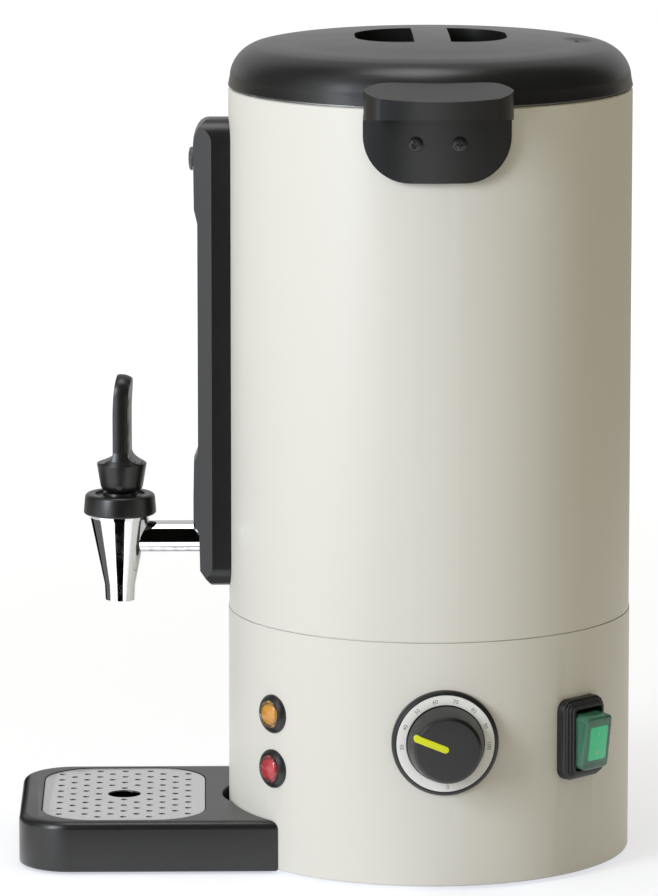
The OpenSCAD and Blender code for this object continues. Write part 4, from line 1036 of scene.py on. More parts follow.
@dataclass
class SideHandles:
    """The two grips under the lid's edge and their screws."""

    edge: float = 1.1
    shell: float = 114.6
    plate: float = 4.4
    plate_low: float = 399.6
    plate_corner: float = 25.5
    back_corner: float = 21.0
    front_corner: float = 25.0
    width: float = 82.0
    rim: float = 440.0
    rise: float = 15.0
    fall: float = 7.0
    lip: float = 9.5
    reach: float = 150.0
    bulge: float = 95.0
    lid_clear: float = 117.5
    lid_drop: float = 8.0
    wall: float = 3.4
    flare: float = 1.6
    back_overlap: float = 3.0
    slope: float = 5.0
    sheet_clearance: float = 0.1
    screw_edge: float = 0.15
    block: float = 120.0

    def plan(self, inset: float) -> bpy.types.Object:
        """The ledge's form seen from above: two rounded blocks that overlap, within a disc.

        Args:
            inset: how far it lies inside the outer surface.

        Returns:
            An upright form.
        """
        front, back, length = self.reach - inset, self.lid_clear - self.back_overlap + inset, self.block
        width = self.width + self.flare - 2 * inset
        low, high = self.rim - 20, self.rim + 40
        plan = Form().prism(rounded_rectangle(length, width, self.front_corner - inset, 12), low, high,
                            Matrix.Translation((front - length / 2, 0, 0))).make("plan")
        rear = Form().prism(rounded_rectangle(length, width, self.back_corner, 12), low - 1, high + 1,
                            Matrix.Translation((back + length / 2, 0, 0))).make("rear")
        disc = self.ring(self.bulge - inset, self.rim - 30, self.rim + 50)
        disc.data.transform(Matrix.Translation(((self.reach - self.bulge) * MM, 0, 0)))
        return cut(cut(plan, rear, "INTERSECT"), disc, "INTERSECT")

    def side(self, inset: float) -> bpy.types.Object:
        """The ledge's form seen from the side, with its sloping top and its lip.

        Args:
            inset: how far it lies inside the outer surface.

        Returns:
            A form that lies across the ledge.
        """
        top = self.rim + self.rise
        lip = top - self.fall
        under, back, front = lip - self.lip, self.shell - 10.0, self.reach + 1.0
        outline = [(back, under - self.slope - inset * 6.0), (front, under - inset * 6.0),
                   (front, lip - inset * 1.05), (self.lid_clear + 1.0, top - inset * 1.05),
                   (back, top + 1.0 - inset * 1.05)]
        turned = Matrix(((1, 0, 0, 0), (0, 0, -1, 0), (0, 1, 0, 0), (0, 0, 0, 1)))
        return Form().prism(outline, -60.0, 60.0, turned).make("side")

    def ring(self, radius: float, low: float, high: float) -> bpy.types.Object:
        """An upright cylinder on the urn's axis.

        Args:
            radius: its radius.
            low: the height of its foot.
            high: the height of its top.

        Returns:
            The cylinder.
        """
        return Form().lathe([(0.0, low), (radius, low), (radius, high), (0.0, high)], steps=256,
                            closed=False).make("ring")

    def grip(self) -> bpy.types.Object:
        """One grip, on the dial's side: a curved plate with a hollow ledge.

        Returns:
            The grip, cut clear of the shell and of the lid.
        """
        top, half = self.rim + self.rise, self.width / 2
        low, foot, head = self.plate_low, self.plate_corner, self.back_corner
        corners = [(half, low, foot), (half, top, head), (-half, top, head), (-half, low, foot)]
        outline = filleted(corners, steps=12)
        plate = Form().prism(outline, 60.0, 130.0, facing(0.0, 0.0)).make("grip")
        plate = cut(plate, self.ring(self.shell + self.plate, self.plate_low - 5, top + 5), "INTERSECT")
        ledge = cut(self.plan(0.0), self.side(0.0), "INTERSECT")
        grip = cut(plate, ledge, "UNION")
        hollow = cut(self.plan(self.wall), self.side(self.wall), "INTERSECT")
        hollow = cut(hollow, self.ring(self.shell + self.plate + 0.6, self.rim - 60, self.rim + 60))
        grip = cut(grip, hollow)
        grip = cut(grip, self.ring(self.shell + self.sheet_clearance, self.plate_low - 9, top + 9))
        return cut(grip, self.ring(self.lid_clear, self.rim - self.lid_drop, top + 9))

    def build(self, shop: Workshop) -> None:
        """Makes the grips and the screws.

        Args:
            shop: the workshop that takes the pieces.
        """
        for node, turn in (("right_handle", 0.0), ("left_handle", math.pi)):
            grip = self.grip()
            grip.data.transform(Matrix.Rotation(turn, 4, "Z"))
            grip.name = node + "_skin"
            grip.data.shade_smooth()
            grip.data.set_sharp_from_angle(angle=math.radians(30))
            soften(grip, self.edge, angle=32)
            shop.keep(grip, Body.URN, Slot.PLASTIC, node)
        shop.recast("handle_screws", Body.URN, self.screw_edge)


@dataclass
class GaugeColumn:
    """The level gauge's cover with its cap, tube and seals."""

    cover_edge: float = 0.7
    height: float = 399.0
    cap_radius: float = 6.7
    cap_thickness: float = 1.2
    boss: float = 134.7
    plug_end: float = 132.0
    plug_radius: float = 4.4

    def build(self, shop: Workshop) -> None:
        """Makes the cover, the ribbed cap and the gauge.

        Args:
            shop: the workshop that takes the pieces.
        """
        shop.recast("column_cover", Body.URN, self.cover_edge)
        rim, wide = self.boss + self.cap_thickness, self.cap_radius
        cap = Form().lathe(filleted([
            (0.0, self.plug_end), (self.plug_radius, self.plug_end), (self.plug_radius, self.boss),
            (wide, self.boss), (wide, rim, 0.5), (wide - 1.2, rim + 1.0, 0.5),
            (wide - 2.0, rim + 0.7, 0.2), (wide - 2.8, rim + 1.2, 0.4),
            (0.0, rim + 1.4)], closed=False, steps=4), facing(-90, self.height), 64, closed=False)
        shop.keep(cap.make("gauge_cap", sharp=50), Body.URN, Slot.GREY, "column_cap")
        for node in ("sight_tube", "gauge_tee", "tube_seals"):
            shop.recast(node, Body.URN, 0.0)


@dataclass
class Tap:
    """The chrome tap with its bonnet and lever."""

    y: float = -177.1
    spout_z: float = 144.5
    cone_top: float = 197.0
    cone_radius: float = 17.05
    spout_radius: float = 8.8
    bore: float = 6.6
    wall: float = 3.0
    collar: float = 4.4
    axis_z: float = 181.0
    shank_radius: float = 9.3
    shank_bore: float = 6.2
    shank_end: float = 95.0
    column_face: float = 127.6
    flange: tuple[float, float] = (1.4, 1.2)
    neck: tuple[float, float] = (7.7, 5.7)
    boss_start: float = 10.0
    boss_length: float = 19.0
    bonnet_low: float = 194.8
    bonnet_top: float = 206.5
    bonnet_radius: float = 20.8
    bonnet_bore: float = 17.25
    bonnet_seat: float = 197.1
    stem_bore: float = 2.56
    stem_seat: tuple[float, float] = (6.4, 200.2)
    well: tuple[float, float] = (9.8, 14.0)
    well_depth: float = 1.4
    pad_z: float = 207.2
    pin_z: float = 211.6
    hub_low: float = 207.6
    hub_radius: float = 14.25
    shoulder: float = 224.0
    shoulder_rise: float = 6.5
    blade_top: float = 275.2
    blade_thickness: float = 8.5
    blade_width: float = 22.0
    blade_turn: float = -6.6
    blade_bow: tuple[float, float] = (0.4, 1.9)
    bow_start: float = 0.45
    lean: float = 1.1
    eye: float = 4.2
    eye_top: float = 3.6
    slot_width: float = 6.6
    pin_radius: float = 1.6

    @property
    def upright(self) -> Matrix:
        """Place of the tap's own axis."""
        return Matrix.Translation((0, self.y, 0))

    def body(self) -> bpy.types.Object:
        """The cone, the spout and the start of the shank.

        Returns:
            The tap's body.
        """
        low, top, wide = self.spout_z, self.cone_top, self.cone_radius
        cone = filleted([
            (self.bore, low), (self.spout_radius - 0.2, low, 0.3), (self.spout_radius + 0.2, low + 9),
            (wide, top - self.collar, 2.0), (wide, top), (wide - self.wall, top), (wide - self.wall, top - 5),
            (self.bore + 1.5, low + 15), (self.bore + 1.3, low + 13.3), (self.bore, low + 12)])
        back = Matrix(((1, 0, 0, 0), (0, 0, 1, self.y), (0, -1, 0, self.axis_z), (0, 0, 0, 1)))
        bore, wide = self.shank_bore, self.shank_radius
        start, end = self.boss_start, self.boss_length
        boss = [(bore, start), (wide, start), (wide, end), (bore, end)]
        form = Form().lathe(cone, self.upright, 128).lathe(boss, back, 96)
        return form.make("tap_cone", sharp=40)

    def shank(self) -> bpy.types.Object:
        """The horizontal shank, through the column and into the vessel.

        Returns:
            The shank, with its flange at the column's face and its neck in the tap's boss.
        """
        front, bore, wide = -self.y - self.boss_length, self.shank_bore, self.shank_radius
        end, face, neck = self.shank_end, self.column_face, self.neck[0]
        brim, thick = self.flange
        line = filleted([
            (bore, end), (wide - 0.6, end), (wide, end + 0.6), (wide, face), (wide + brim, face),
            (wide + brim, face + thick), (wide, face + thick), (wide, front), (neck, front),
            (neck, front + self.neck[1]), (bore, front + self.neck[1])])
        return Form().lathe(line, facing(-90, self.axis_z), 96).make("tap_pipe", sharp=40)

    def bonnet(self) -> bpy.types.Object:
        """The screwed bonnet with a well round its raised pad.

        Returns:
            The bonnet.
        """
        low, top, wide = self.bonnet_low, self.bonnet_top, self.bonnet_radius
        inner, outer = self.well
        floor, stem = top - self.well_depth, self.stem_bore
        cup, roof = self.stem_seat
        line = filleted([
            (self.bonnet_bore, low), (wide - 0.8, low, 0.4), (wide, low + 0.9, 0.8), (wide - 0.95, top, 2.2),
            (outer + 0.2, top, 0.4), (outer, floor, 0.3), (inner, floor, 0.3), (inner - 0.2, self.pad_z, 0.3),
            (stem, self.pad_z), (stem, roof), (cup, roof), (cup, self.bonnet_seat),
            (self.bonnet_bore, self.bonnet_seat)])
        return Form().lathe(line, self.upright, 128).make("bonnet_skin", sharp=45)

    def lever_side(self) -> Outline:
        """Side view of the lever: concave fillets lead from the hub up into a slightly bowed blade.

        Returns:
            Points as (across, height).
        """
        shoulder, reach, half = self.shoulder, self.hub_radius + 1.0, self.blade_thickness / 2
        foot, top = shoulder + self.shoulder_rise, self.blade_top
        start, bow = self.blade_bow
        right: Outline = [(reach, self.hub_low - 1.0)]
        left: Outline = [(-reach, self.hub_low - 1.0)]
        for i in range(9):
            turn = math.pi / 2 * i / 8
            out = (reach - half) * (1 - math.sin(turn))
            middle = start * (1 - out / (reach - half))
            height = shoulder + (foot - shoulder) * (1 - math.cos(turn))
            right.append((middle + half + out, height))
            left.append((middle - half - out, height))
        for i in range(1, 13):
            middle = start + bow * max(0.0, (i / 12 - self.bow_start) / (1 - self.bow_start)) ** 2
            height = foot + (top + 1.0 - foot) * i / 12
            right.append((middle + half, height))
            left.append((middle - half, height))
        return right + left[::-1]

    def lever(self) -> bpy.types.Object:
        """The lever, whose underside is slotted over the stem's eye.

        Returns:
            The lever.
        """
        shoulder, wide, top = self.shoulder, self.blade_width / 2, self.blade_top
        crown = [(wide * math.cos(math.pi * i / 24), top - wide + wide * math.sin(math.pi * i / 24))
                 for i in range(13)]
        turned = filleted([
            (0.0, self.hub_low), (self.hub_radius - 2.6, self.hub_low, 4.4),
            (self.hub_radius, shoulder - 0.4, 0.7), (wide + 1.7, shoulder + 2.4, 1.5),
            (wide + 0.4, shoulder + 7.0, 4.0), *crown], closed=False)
        stand = self.upright @ Matrix.Translation((0, self.lean, 0))
        lever = Form().lathe(turned, stand, 128, closed=False).make("lever_skin")
        across = stand @ facing(self.blade_turn, 0.0)
        lever = cut(lever, Form().prism(self.lever_side(), -20.0, 20.0, across).make("side"), "INTERSECT")
        soften(lever, 0.8, angle=48)
        slot = self.slot_width / 2
        pin = self.upright @ facing(0.0, self.pin_z)
        eye, roof = self.eye, self.eye_top
        opening = filleted([(eye, 0.0), (eye, roof, roof - 0.1), (-eye, roof, roof - 0.1), (-eye, 0.0),
                            (-30.0, -10.0), (-30.0, -40.0), (12.0, -40.0)])
        lever = cut(lever, Form().prism(opening, -slot, slot, pin).make("slot"))
        lever = cut(lever, Form().prism(circle(self.pin_radius), -30.0, 30.0, pin).make("hole"))
        lever.data.shade_smooth()
        lever.data.set_sharp_from_angle(angle=math.radians(38))
        lever.name = "lever_skin"
        return lever

    def build(self, shop: Workshop) -> None:
        """Makes the tap's pieces.

        Args:
            shop: the workshop that takes the pieces.
        """
        shop.keep(self.body(), Body.URN, Slot.CHROME, "tap_body")
        shop.keep(self.shank(), Body.URN, Slot.CHROME, "tap_shank")
        shop.keep(self.bonnet(), Body.URN, Slot.PLASTIC, "bonnet")
        shop.keep(self.lever(), Body.LEVER, Slot.PLASTIC, "lever")
        shop.recast("lever_pin", Body.LEVER, 0.2)


@dataclass
class DripTray:
    """The tray and its lift-out grille."""

    edge: float = 0.8
    grille: tuple[float, float] = (134.0, 93.0)
    corner: float = 30.0
    grille_y: float = -175.5
    grille_top: float = 30.1
    sheet: float = 0.8
    skirt: float = 2.4
    fold: float = 1.2
    drain: float = 3.9
    pitch: float = 14.7
    margin: float = 5.0
    finger: float = 19.0
    finger_margin: float = 4.0

    def drains(self) -> list[tuple[float, float]]:
        """Centres of the drain holes: staggered rows that leave the finger hole's surround clear.

        Returns:
            Places as (x, y) from the grille's centre.
        """
        wide, long = self.grille[0] / 2, self.grille[1] / 2
        rows = int((wide - self.margin) / (self.pitch / 2))
        places = []
        for i in range(-rows, rows + 1):
            for j in range(-4, 5):
                x, y = i * self.pitch / 2, j * self.pitch + (self.pitch / 2 if i % 2 else 0.0)
                deep = abs(x) - (wide - self.corner), abs(y) - (long - self.corner)
                inside = min(deep) < 0 or math.hypot(*deep) < self.corner - self.margin
                clear = math.hypot(x, y) > self.finger / 2 + self.finger_margin
                if abs(y) < long - self.margin and clear and inside:
                    places.append((x, y))
        return places

    def plate(self) -> bpy.types.Object:
        """The perforated plate with its folded skirt.

        Returns:
            The plate.
        """
        middle = Matrix.Translation((0, self.grille_y, 0))
        low, high = self.grille_top - self.skirt, self.grille_top + 3
        outline = rounded_rectangle(*self.grille, self.corner, 16)
        plate = Form().prism(outline, low, self.grille_top, middle).make("plate")
        soften(plate, 0.35)
        inner = rounded_rectangle(self.grille[0] - 2 * self.fold, self.grille[1] - 2 * self.fold,
                                  self.corner - self.fold, 16)
        plate = cut(plate, Form().prism(inner, low - 1, self.grille_top - self.sheet, middle).make("inner"))
        holes = Form()
        for x, y in self.drains():
            holes.prism(circle(self.drain / 2, 4), low - 3, high, middle @ Matrix.Translation((x, y, 0)))
        holes.prism(circle(self.finger / 2, 12), low - 3, high, middle)
        plate = cut(plate, holes.make("holes"))
        plate.name = "grille_plate"
        plate.data.shade_smooth()
        plate.data.set_sharp_from_angle(angle=math.radians(30))
        return plate

    def build(self, shop: Workshop) -> None:
        """Makes the tray and the grille."""
        shop.recast("tray_body", Body.TRAY, self.edge)
        shop.keep(self.plate(), Body.GRILLE, Slot.GRILLE, "tray_grille")


@dataclass
class Dial:
    """The thermostat's bezel, scale, knob and pointer."""

    azimuth: float = 2.6
    height: float = 84.7
    bezel_radius: float = 30.0
    bezel_top: float = 118.4
    bezel_back: float = 112.4
    shaft_hole: float = 5.2
    scale_gap: float = 0.3
    scale_out: float = 27.5
    scale_in: float = 22.0
    scale_low: float = 117.4
    scale_top: float = 118.2
    knob_radius: float = 21.5
    face_radius: float = 18.7
    knob_low: float = 117.9
    knob_top: float = 137.1
    pointer_angle: float = 157.9
    pointer_width: float = 3.9
    pointer_inner: float = 1.7
    pointer_inset: float = 0.9
    pointer_rise: float = 0.55
    pointer_depth: float = 3.4
    label_radius: float = 24.4
    label_size: float = 3.3
    labels: tuple[tuple[str, float], ...] = (
        ("0", -87.0), ("30", 184.0), ("40", 157.0), ("50", 130.6), ("60", 103.8),
        ("70", 77.0), ("80", 50.0), ("90", 24.0), ("100", -3.0))

    def build(self, shop: Workshop) -> None:
        """Makes the dial's pieces.

        Args:
            shop: the workshop that takes the pieces.
        """
        place = facing(self.azimuth, self.height)
        top, wide = self.bezel_top, self.bezel_radius
        bezel = filleted([
            (self.shaft_hole, self.bezel_back + 0.8), (wide, self.bezel_back), (wide, top - 1.2, 2.2),
            (self.scale_out + self.scale_gap, top, 0.25), (self.scale_out + self.scale_gap, self.scale_low),
            (self.shaft_hole, self.scale_low)], steps=6)
        shop.keep(Form().lathe(bezel, place, 144).make("dial_rim", sharp=50), Body.URN, Slot.GLOSS,
                  "dial_bezel")
        ring = filleted([
            (self.scale_in, self.scale_low), (self.scale_out, self.scale_low),
            (self.scale_out, self.scale_top, 0.25), (self.scale_in, self.scale_top, 0.3)])
        shop.keep(Form().lathe(ring, place, 144).make("dial_scale", sharp=50), Body.URN, Slot.SCALE,
                  "dial_scale_ring")
        self.print_scale(shop, place)
        low, face = self.knob_low, self.face_radius
        knob = filleted([
            (0.0, low + 0.4), (self.knob_radius - 0.6, low + 0.4), (self.knob_radius, low + 1.0, 0.2),
            (self.knob_radius, low + 2.2, 0.8), (face + 0.2, self.knob_top - 1.4, 1.2),
            (face - 1.4, self.knob_top, 1.2), (face / 2, self.knob_top + 0.2, 2.0),
            (0.0, self.knob_top + 0.3)], closed=False, steps=6)
        shop.keep(Form().lathe(knob, place, 144, closed=False).make("knob_skin", sharp=60), Body.KNOB,
                  Slot.GLOSS, "knob")
        shop.keep(self.pointer(place), Body.KNOB, Slot.YELLOW, "knob_pointer")

    def pointer(self, place: Matrix) -> bpy.types.Object:
        """The raised rib on the knob's face, which reaches past its edge.

        Args:
            place: the dial's place.

        Returns:
            The rib.
        """
        half, end, top = self.pointer_width / 2, self.knob_radius - self.pointer_inset, self.knob_top
        turn = place @ Matrix.Rotation(math.radians(self.pointer_angle), 4, "Z")
        arc = [math.pi / 2 - math.pi * i / 12 for i in range(13)]
        plan = [(end - half + half * math.cos(a), half * math.sin(a)) for a in arc]
        plan += [(self.pointer_inner - half * math.cos(a), -half * math.sin(a)) for a in arc]
        rib = Form().prism(plan, top - self.pointer_depth, top + self.pointer_rise, turn, edge=0.3)
        return rib.make("pointer_rib", sharp=50)

    def print_scale(self, shop: Workshop, place: Matrix) -> None:
        """Prints the temperatures on the scale ring.

        Args:
            shop: the workshop that takes the pieces.
            place: the dial's place.
        """
        for text, angle in self.labels:
            turn = Matrix.Rotation(math.radians(angle), 4, "Z")
            spot = Matrix.Translation((self.label_radius, 0, self.scale_top))
            upright = Matrix.Rotation(math.radians(-90), 4, "Z")
            label = lettering("scale_" + text, text, self.label_size, place @ turn @ spot @ upright)
            shop.keep(label, Body.URN, Slot.GREY, trim=Trim.PRINT)


@dataclass
class Lamps:
    """The two indicator lamps."""

    azimuth: float = -51.8
    heights: tuple[tuple[str, float, Slot], ...] = (("amber", 92.2, Slot.AMBER), ("red", 60.6, Slot.RED))
    wall: float = 115.0
    radius: float = 11.0
    top: float = 118.2
    hole: float = 6.35
    sunk: float = 2.6
    seat: float = 1.4
    lens_radius: float = 7.85
    lens_gap: float = 0.1
    rise: float = 2.9
    prism_inset: float = 2.6
    prism_drop: float = 0.7

    def bezel(self, form: Form, place: Matrix) -> None:
        """Adds one domed bezel to a form.

        Args:
            form: the form that it goes into.
            place: the lamp's place.
        """
        rim, back, seat = self.lens_radius + self.lens_gap, self.wall - self.sunk, self.wall + self.seat
        form.lathe(filleted([
            (self.hole, back), (self.radius, back), (self.radius, self.wall + 1.2, 1.4),
            (rim + 0.9, self.top, 1.0), (rim, self.top - 0.2, 0.3), (rim, seat), (self.hole, seat)],
            steps=6), place, 96)

    @staticmethod
    def dome(foot: float, top: float, wide: float, rise: float) -> Outline:
        """Half section of a plug with a round top.

        Args:
            foot: the height of its foot.
            top: the height where its side ends.
            wide: its radius.
            rise: the height of the round top.

        Returns:
            Points as (radius, height).
        """
        line: Outline = [(0.0, foot), (wide, foot)]
        turns = [math.pi * i / 32 for i in range(16)]
        line += [(wide * math.cos(turn), top + rise * math.sin(turn)) for turn in turns]
        return line + [(0.0, top + rise)]

    def build(self, shop: Workshop) -> None:
        """Makes both bezels as one piece, and the lenses with the lit prisms behind them.

        Args:
            shop: the workshop that takes the pieces.
        """
        form, foot = Form(), self.wall + self.seat
        prisms = {Slot.AMBER: Trim.AMBER_PRISM, Slot.RED: Trim.RED_PRISM}
        for name, height, slot in self.heights:
            place = facing(self.azimuth, height)
            self.bezel(form, place)
            outer = self.dome(foot, self.top - 0.3, self.lens_radius, self.rise)
            lens = Form().lathe(outer, place, 96, closed=False).make(name + "_lens_skin", sharp=50)
            shop.keep(lens, Body.URN, slot, name + "_lens")
            inner = self.dome(foot + 0.3, self.top - 1.2, self.lens_radius - self.prism_inset,
                              self.rise - self.prism_drop)
            prism = Form().lathe(inner, place, 48, closed=False).make(name + "_prism", sharp=50)
            shop.keep(prism, Body.URN, slot, trim=prisms[slot])
        shop.keep(form.make("lamp_rims", sharp=50), Body.URN, Slot.GLOSS, "lamp_bezels")


@dataclass
class PowerSwitch:
    """The rocker switch with its splash frame and boot."""

    azimuth: float = 45.0
    height: float = 81.5
    drop: float = 0.8
    wall: float = 115.05
    pivot: float = 117.5
    tilt: float = 7.0
    frame: tuple[float, float] = (32.6, 46.0)
    frame_top: float = 119.6
    frame_corner: float = 6.5
    frame_foot: float = 108.0
    boot: tuple[float, float] = (30.4, 42.6)
    boot_foot: float = 116.0
    treads: int = 3
    tread_inset: tuple[float, float] = (2.5, 1.6)
    tread_rise: float = 1.3
    opening_gap: tuple[float, float] = (0.6, 4.4)
    frame_gap: float = 3.0
    rocker: tuple[float, float] = (21.5, 31.0)
    face: float = 13.0
    core_inset: tuple[float, float] = (4.4, 7.0)
    window: tuple[float, float] = (14.3, 19.5)
    window_rise: float = 0.12
    mark_size: float = 3.6
    mark_rise: float = 0.14
    marks: tuple[tuple[str, float], ...] = (("I", 5.2), ("O", -5.6))

    @staticmethod
    def block(size: tuple[float, float], corner: float, low: float, high: float, place: Matrix,
              edge: float = 0.0) -> bpy.types.Object:
        """A block with round corners that faces outwards.

        Args:
            size: its width and height.
            corner: the radius of its four corners.
            low: the height of its foot in the place.
            high: the height of its face in the place.
            place: its place.
            edge: the radius along its face and its foot.

        Returns:
            The block.
        """
        outline = rounded_rectangle(size[0], size[1], corner)
        return Form().prism(outline, low, high, place, edge=edge).make("block")

    def build(self, shop: Workshop) -> None:
        """Makes the frame, the boot, the rocker and its marks.

        Args:
            shop: the workshop that takes the pieces.
        """
        place = facing(self.azimuth, self.height - self.drop)
        width, height = (side + gap for side, gap in zip(self.rocker, self.opening_gap))
        frame = self.block(self.frame, self.frame_corner, self.frame_foot, self.frame_top, place, edge=1.3)
        frame = cut(frame, Form().lathe([(0.0, 0.0), (self.wall, 0.0), (self.wall, 200.0), (0.0, 200.0)],
                                        steps=256, closed=False).make("wall"))
        hollow = (width + self.frame_gap, height + self.frame_gap)
        frame = cut(frame, self.block(hollow, 1.5, 90.0, 140.0, place))
        frame.name = "switch_rim"
        frame.data.shade_smooth()
        frame.data.set_sharp_from_angle(angle=math.radians(40))
        shop.keep(frame, Body.URN, Slot.GLOSS, "switch_frame")
        boot = None
        for step in range(self.treads):
            size = (self.boot[0] - self.tread_inset[0] * step, self.boot[1] - self.tread_inset[1] * step)
            low = self.frame_top - 0.4 if step else self.boot_foot
            high = self.frame_top + 1.2 + self.tread_rise * step
            tread = self.block(size, 4.6 - 0.8 * step, low, high, place, edge=0.5)
            boot = tread if boot is None else cut(boot, tread, "UNION")
        boot = cut(boot, self.block((width, height), 2.0, 90.0, 140.0, place))
        boot.name = "switch_cuff"
        boot.data.shade_smooth()
        boot.data.set_sharp_from_angle(angle=math.radians(40))
        shop.keep(boot, Body.URN, Slot.RUBBER, "switch_boot")
        self.paddle(shop)

    def paddle(self, shop: Workshop) -> None:
        """Makes the rocker with its tinted cover, its window, which a painted glow brightens, and its marks.

        Args:
            shop: the workshop that takes the pieces.
        """
        pivot = facing(self.azimuth, self.height, self.pivot)
        tilted = (pivot @ Matrix.Rotation(math.radians(self.tilt), 4, "X")
                  @ Matrix.Translation((0, -self.drop, 0)))
        cover = self.block(self.rocker, 3.2, 1.0, self.face, tilted, edge=1.5)
        cover.name = "rocker_cover"
        shop.keep(cover, Body.ROCKER, Slot.GREEN, "rocker")
        size = (self.rocker[0] - self.core_inset[0], self.rocker[1] - self.core_inset[1])
        core = self.block(size, 2.0, 2.0, self.face - 1.0, tilted, edge=0.6)
        core.name = "rocker_core"
        shop.keep(core, Body.ROCKER, Slot.GREEN, trim=Trim.CORE)
        window = Form().prism(rounded_rectangle(*self.window, 1.4), self.face - 1.5,
                              self.face + self.window_rise, tilted, edge=0.1)
        shop.keep(window.make("rocker_window", sharp=50), Body.ROCKER, Slot.GREEN, trim=Trim.WINDOW)
        for text, y in self.marks:
            spot = tilted @ Matrix.Translation((0, y, self.face + self.mark_rise))
            shop.keep(lettering("mark_" + text, text, self.mark_size, spot), Body.ROCKER, Slot.SILICONE)


@dataclass
class Underside:
    """The base plate, the feet, the screws and the cable gland."""

    edge: float = 0.2

    def build(self, shop: Workshop) -> None:
        """Softens the pieces under and behind the base.

        Args:
            shop: the workshop that takes the pieces.
        """
        for node in ("base_plate", "rubber_feet", "base_screws", "cable_gland"):
            shop.recast(node, Body.URN, self.edge)
        shop.recast("tray_feet", Body.TRAY, self.edge)


@dataclass
class Vessel:
    """The inner vessel, the shank's nut and the gaskets, which show with the lid off."""

    def build(self, shop: Workshop) -> None:
        """Smooths the pieces inside the vessel."""
        for node in ("inner_vessel", "shank_nut", "shank_gaskets"):
            shop.recast(node, Body.URN, 0.0)


# ---------------------------------------------------------------- stage


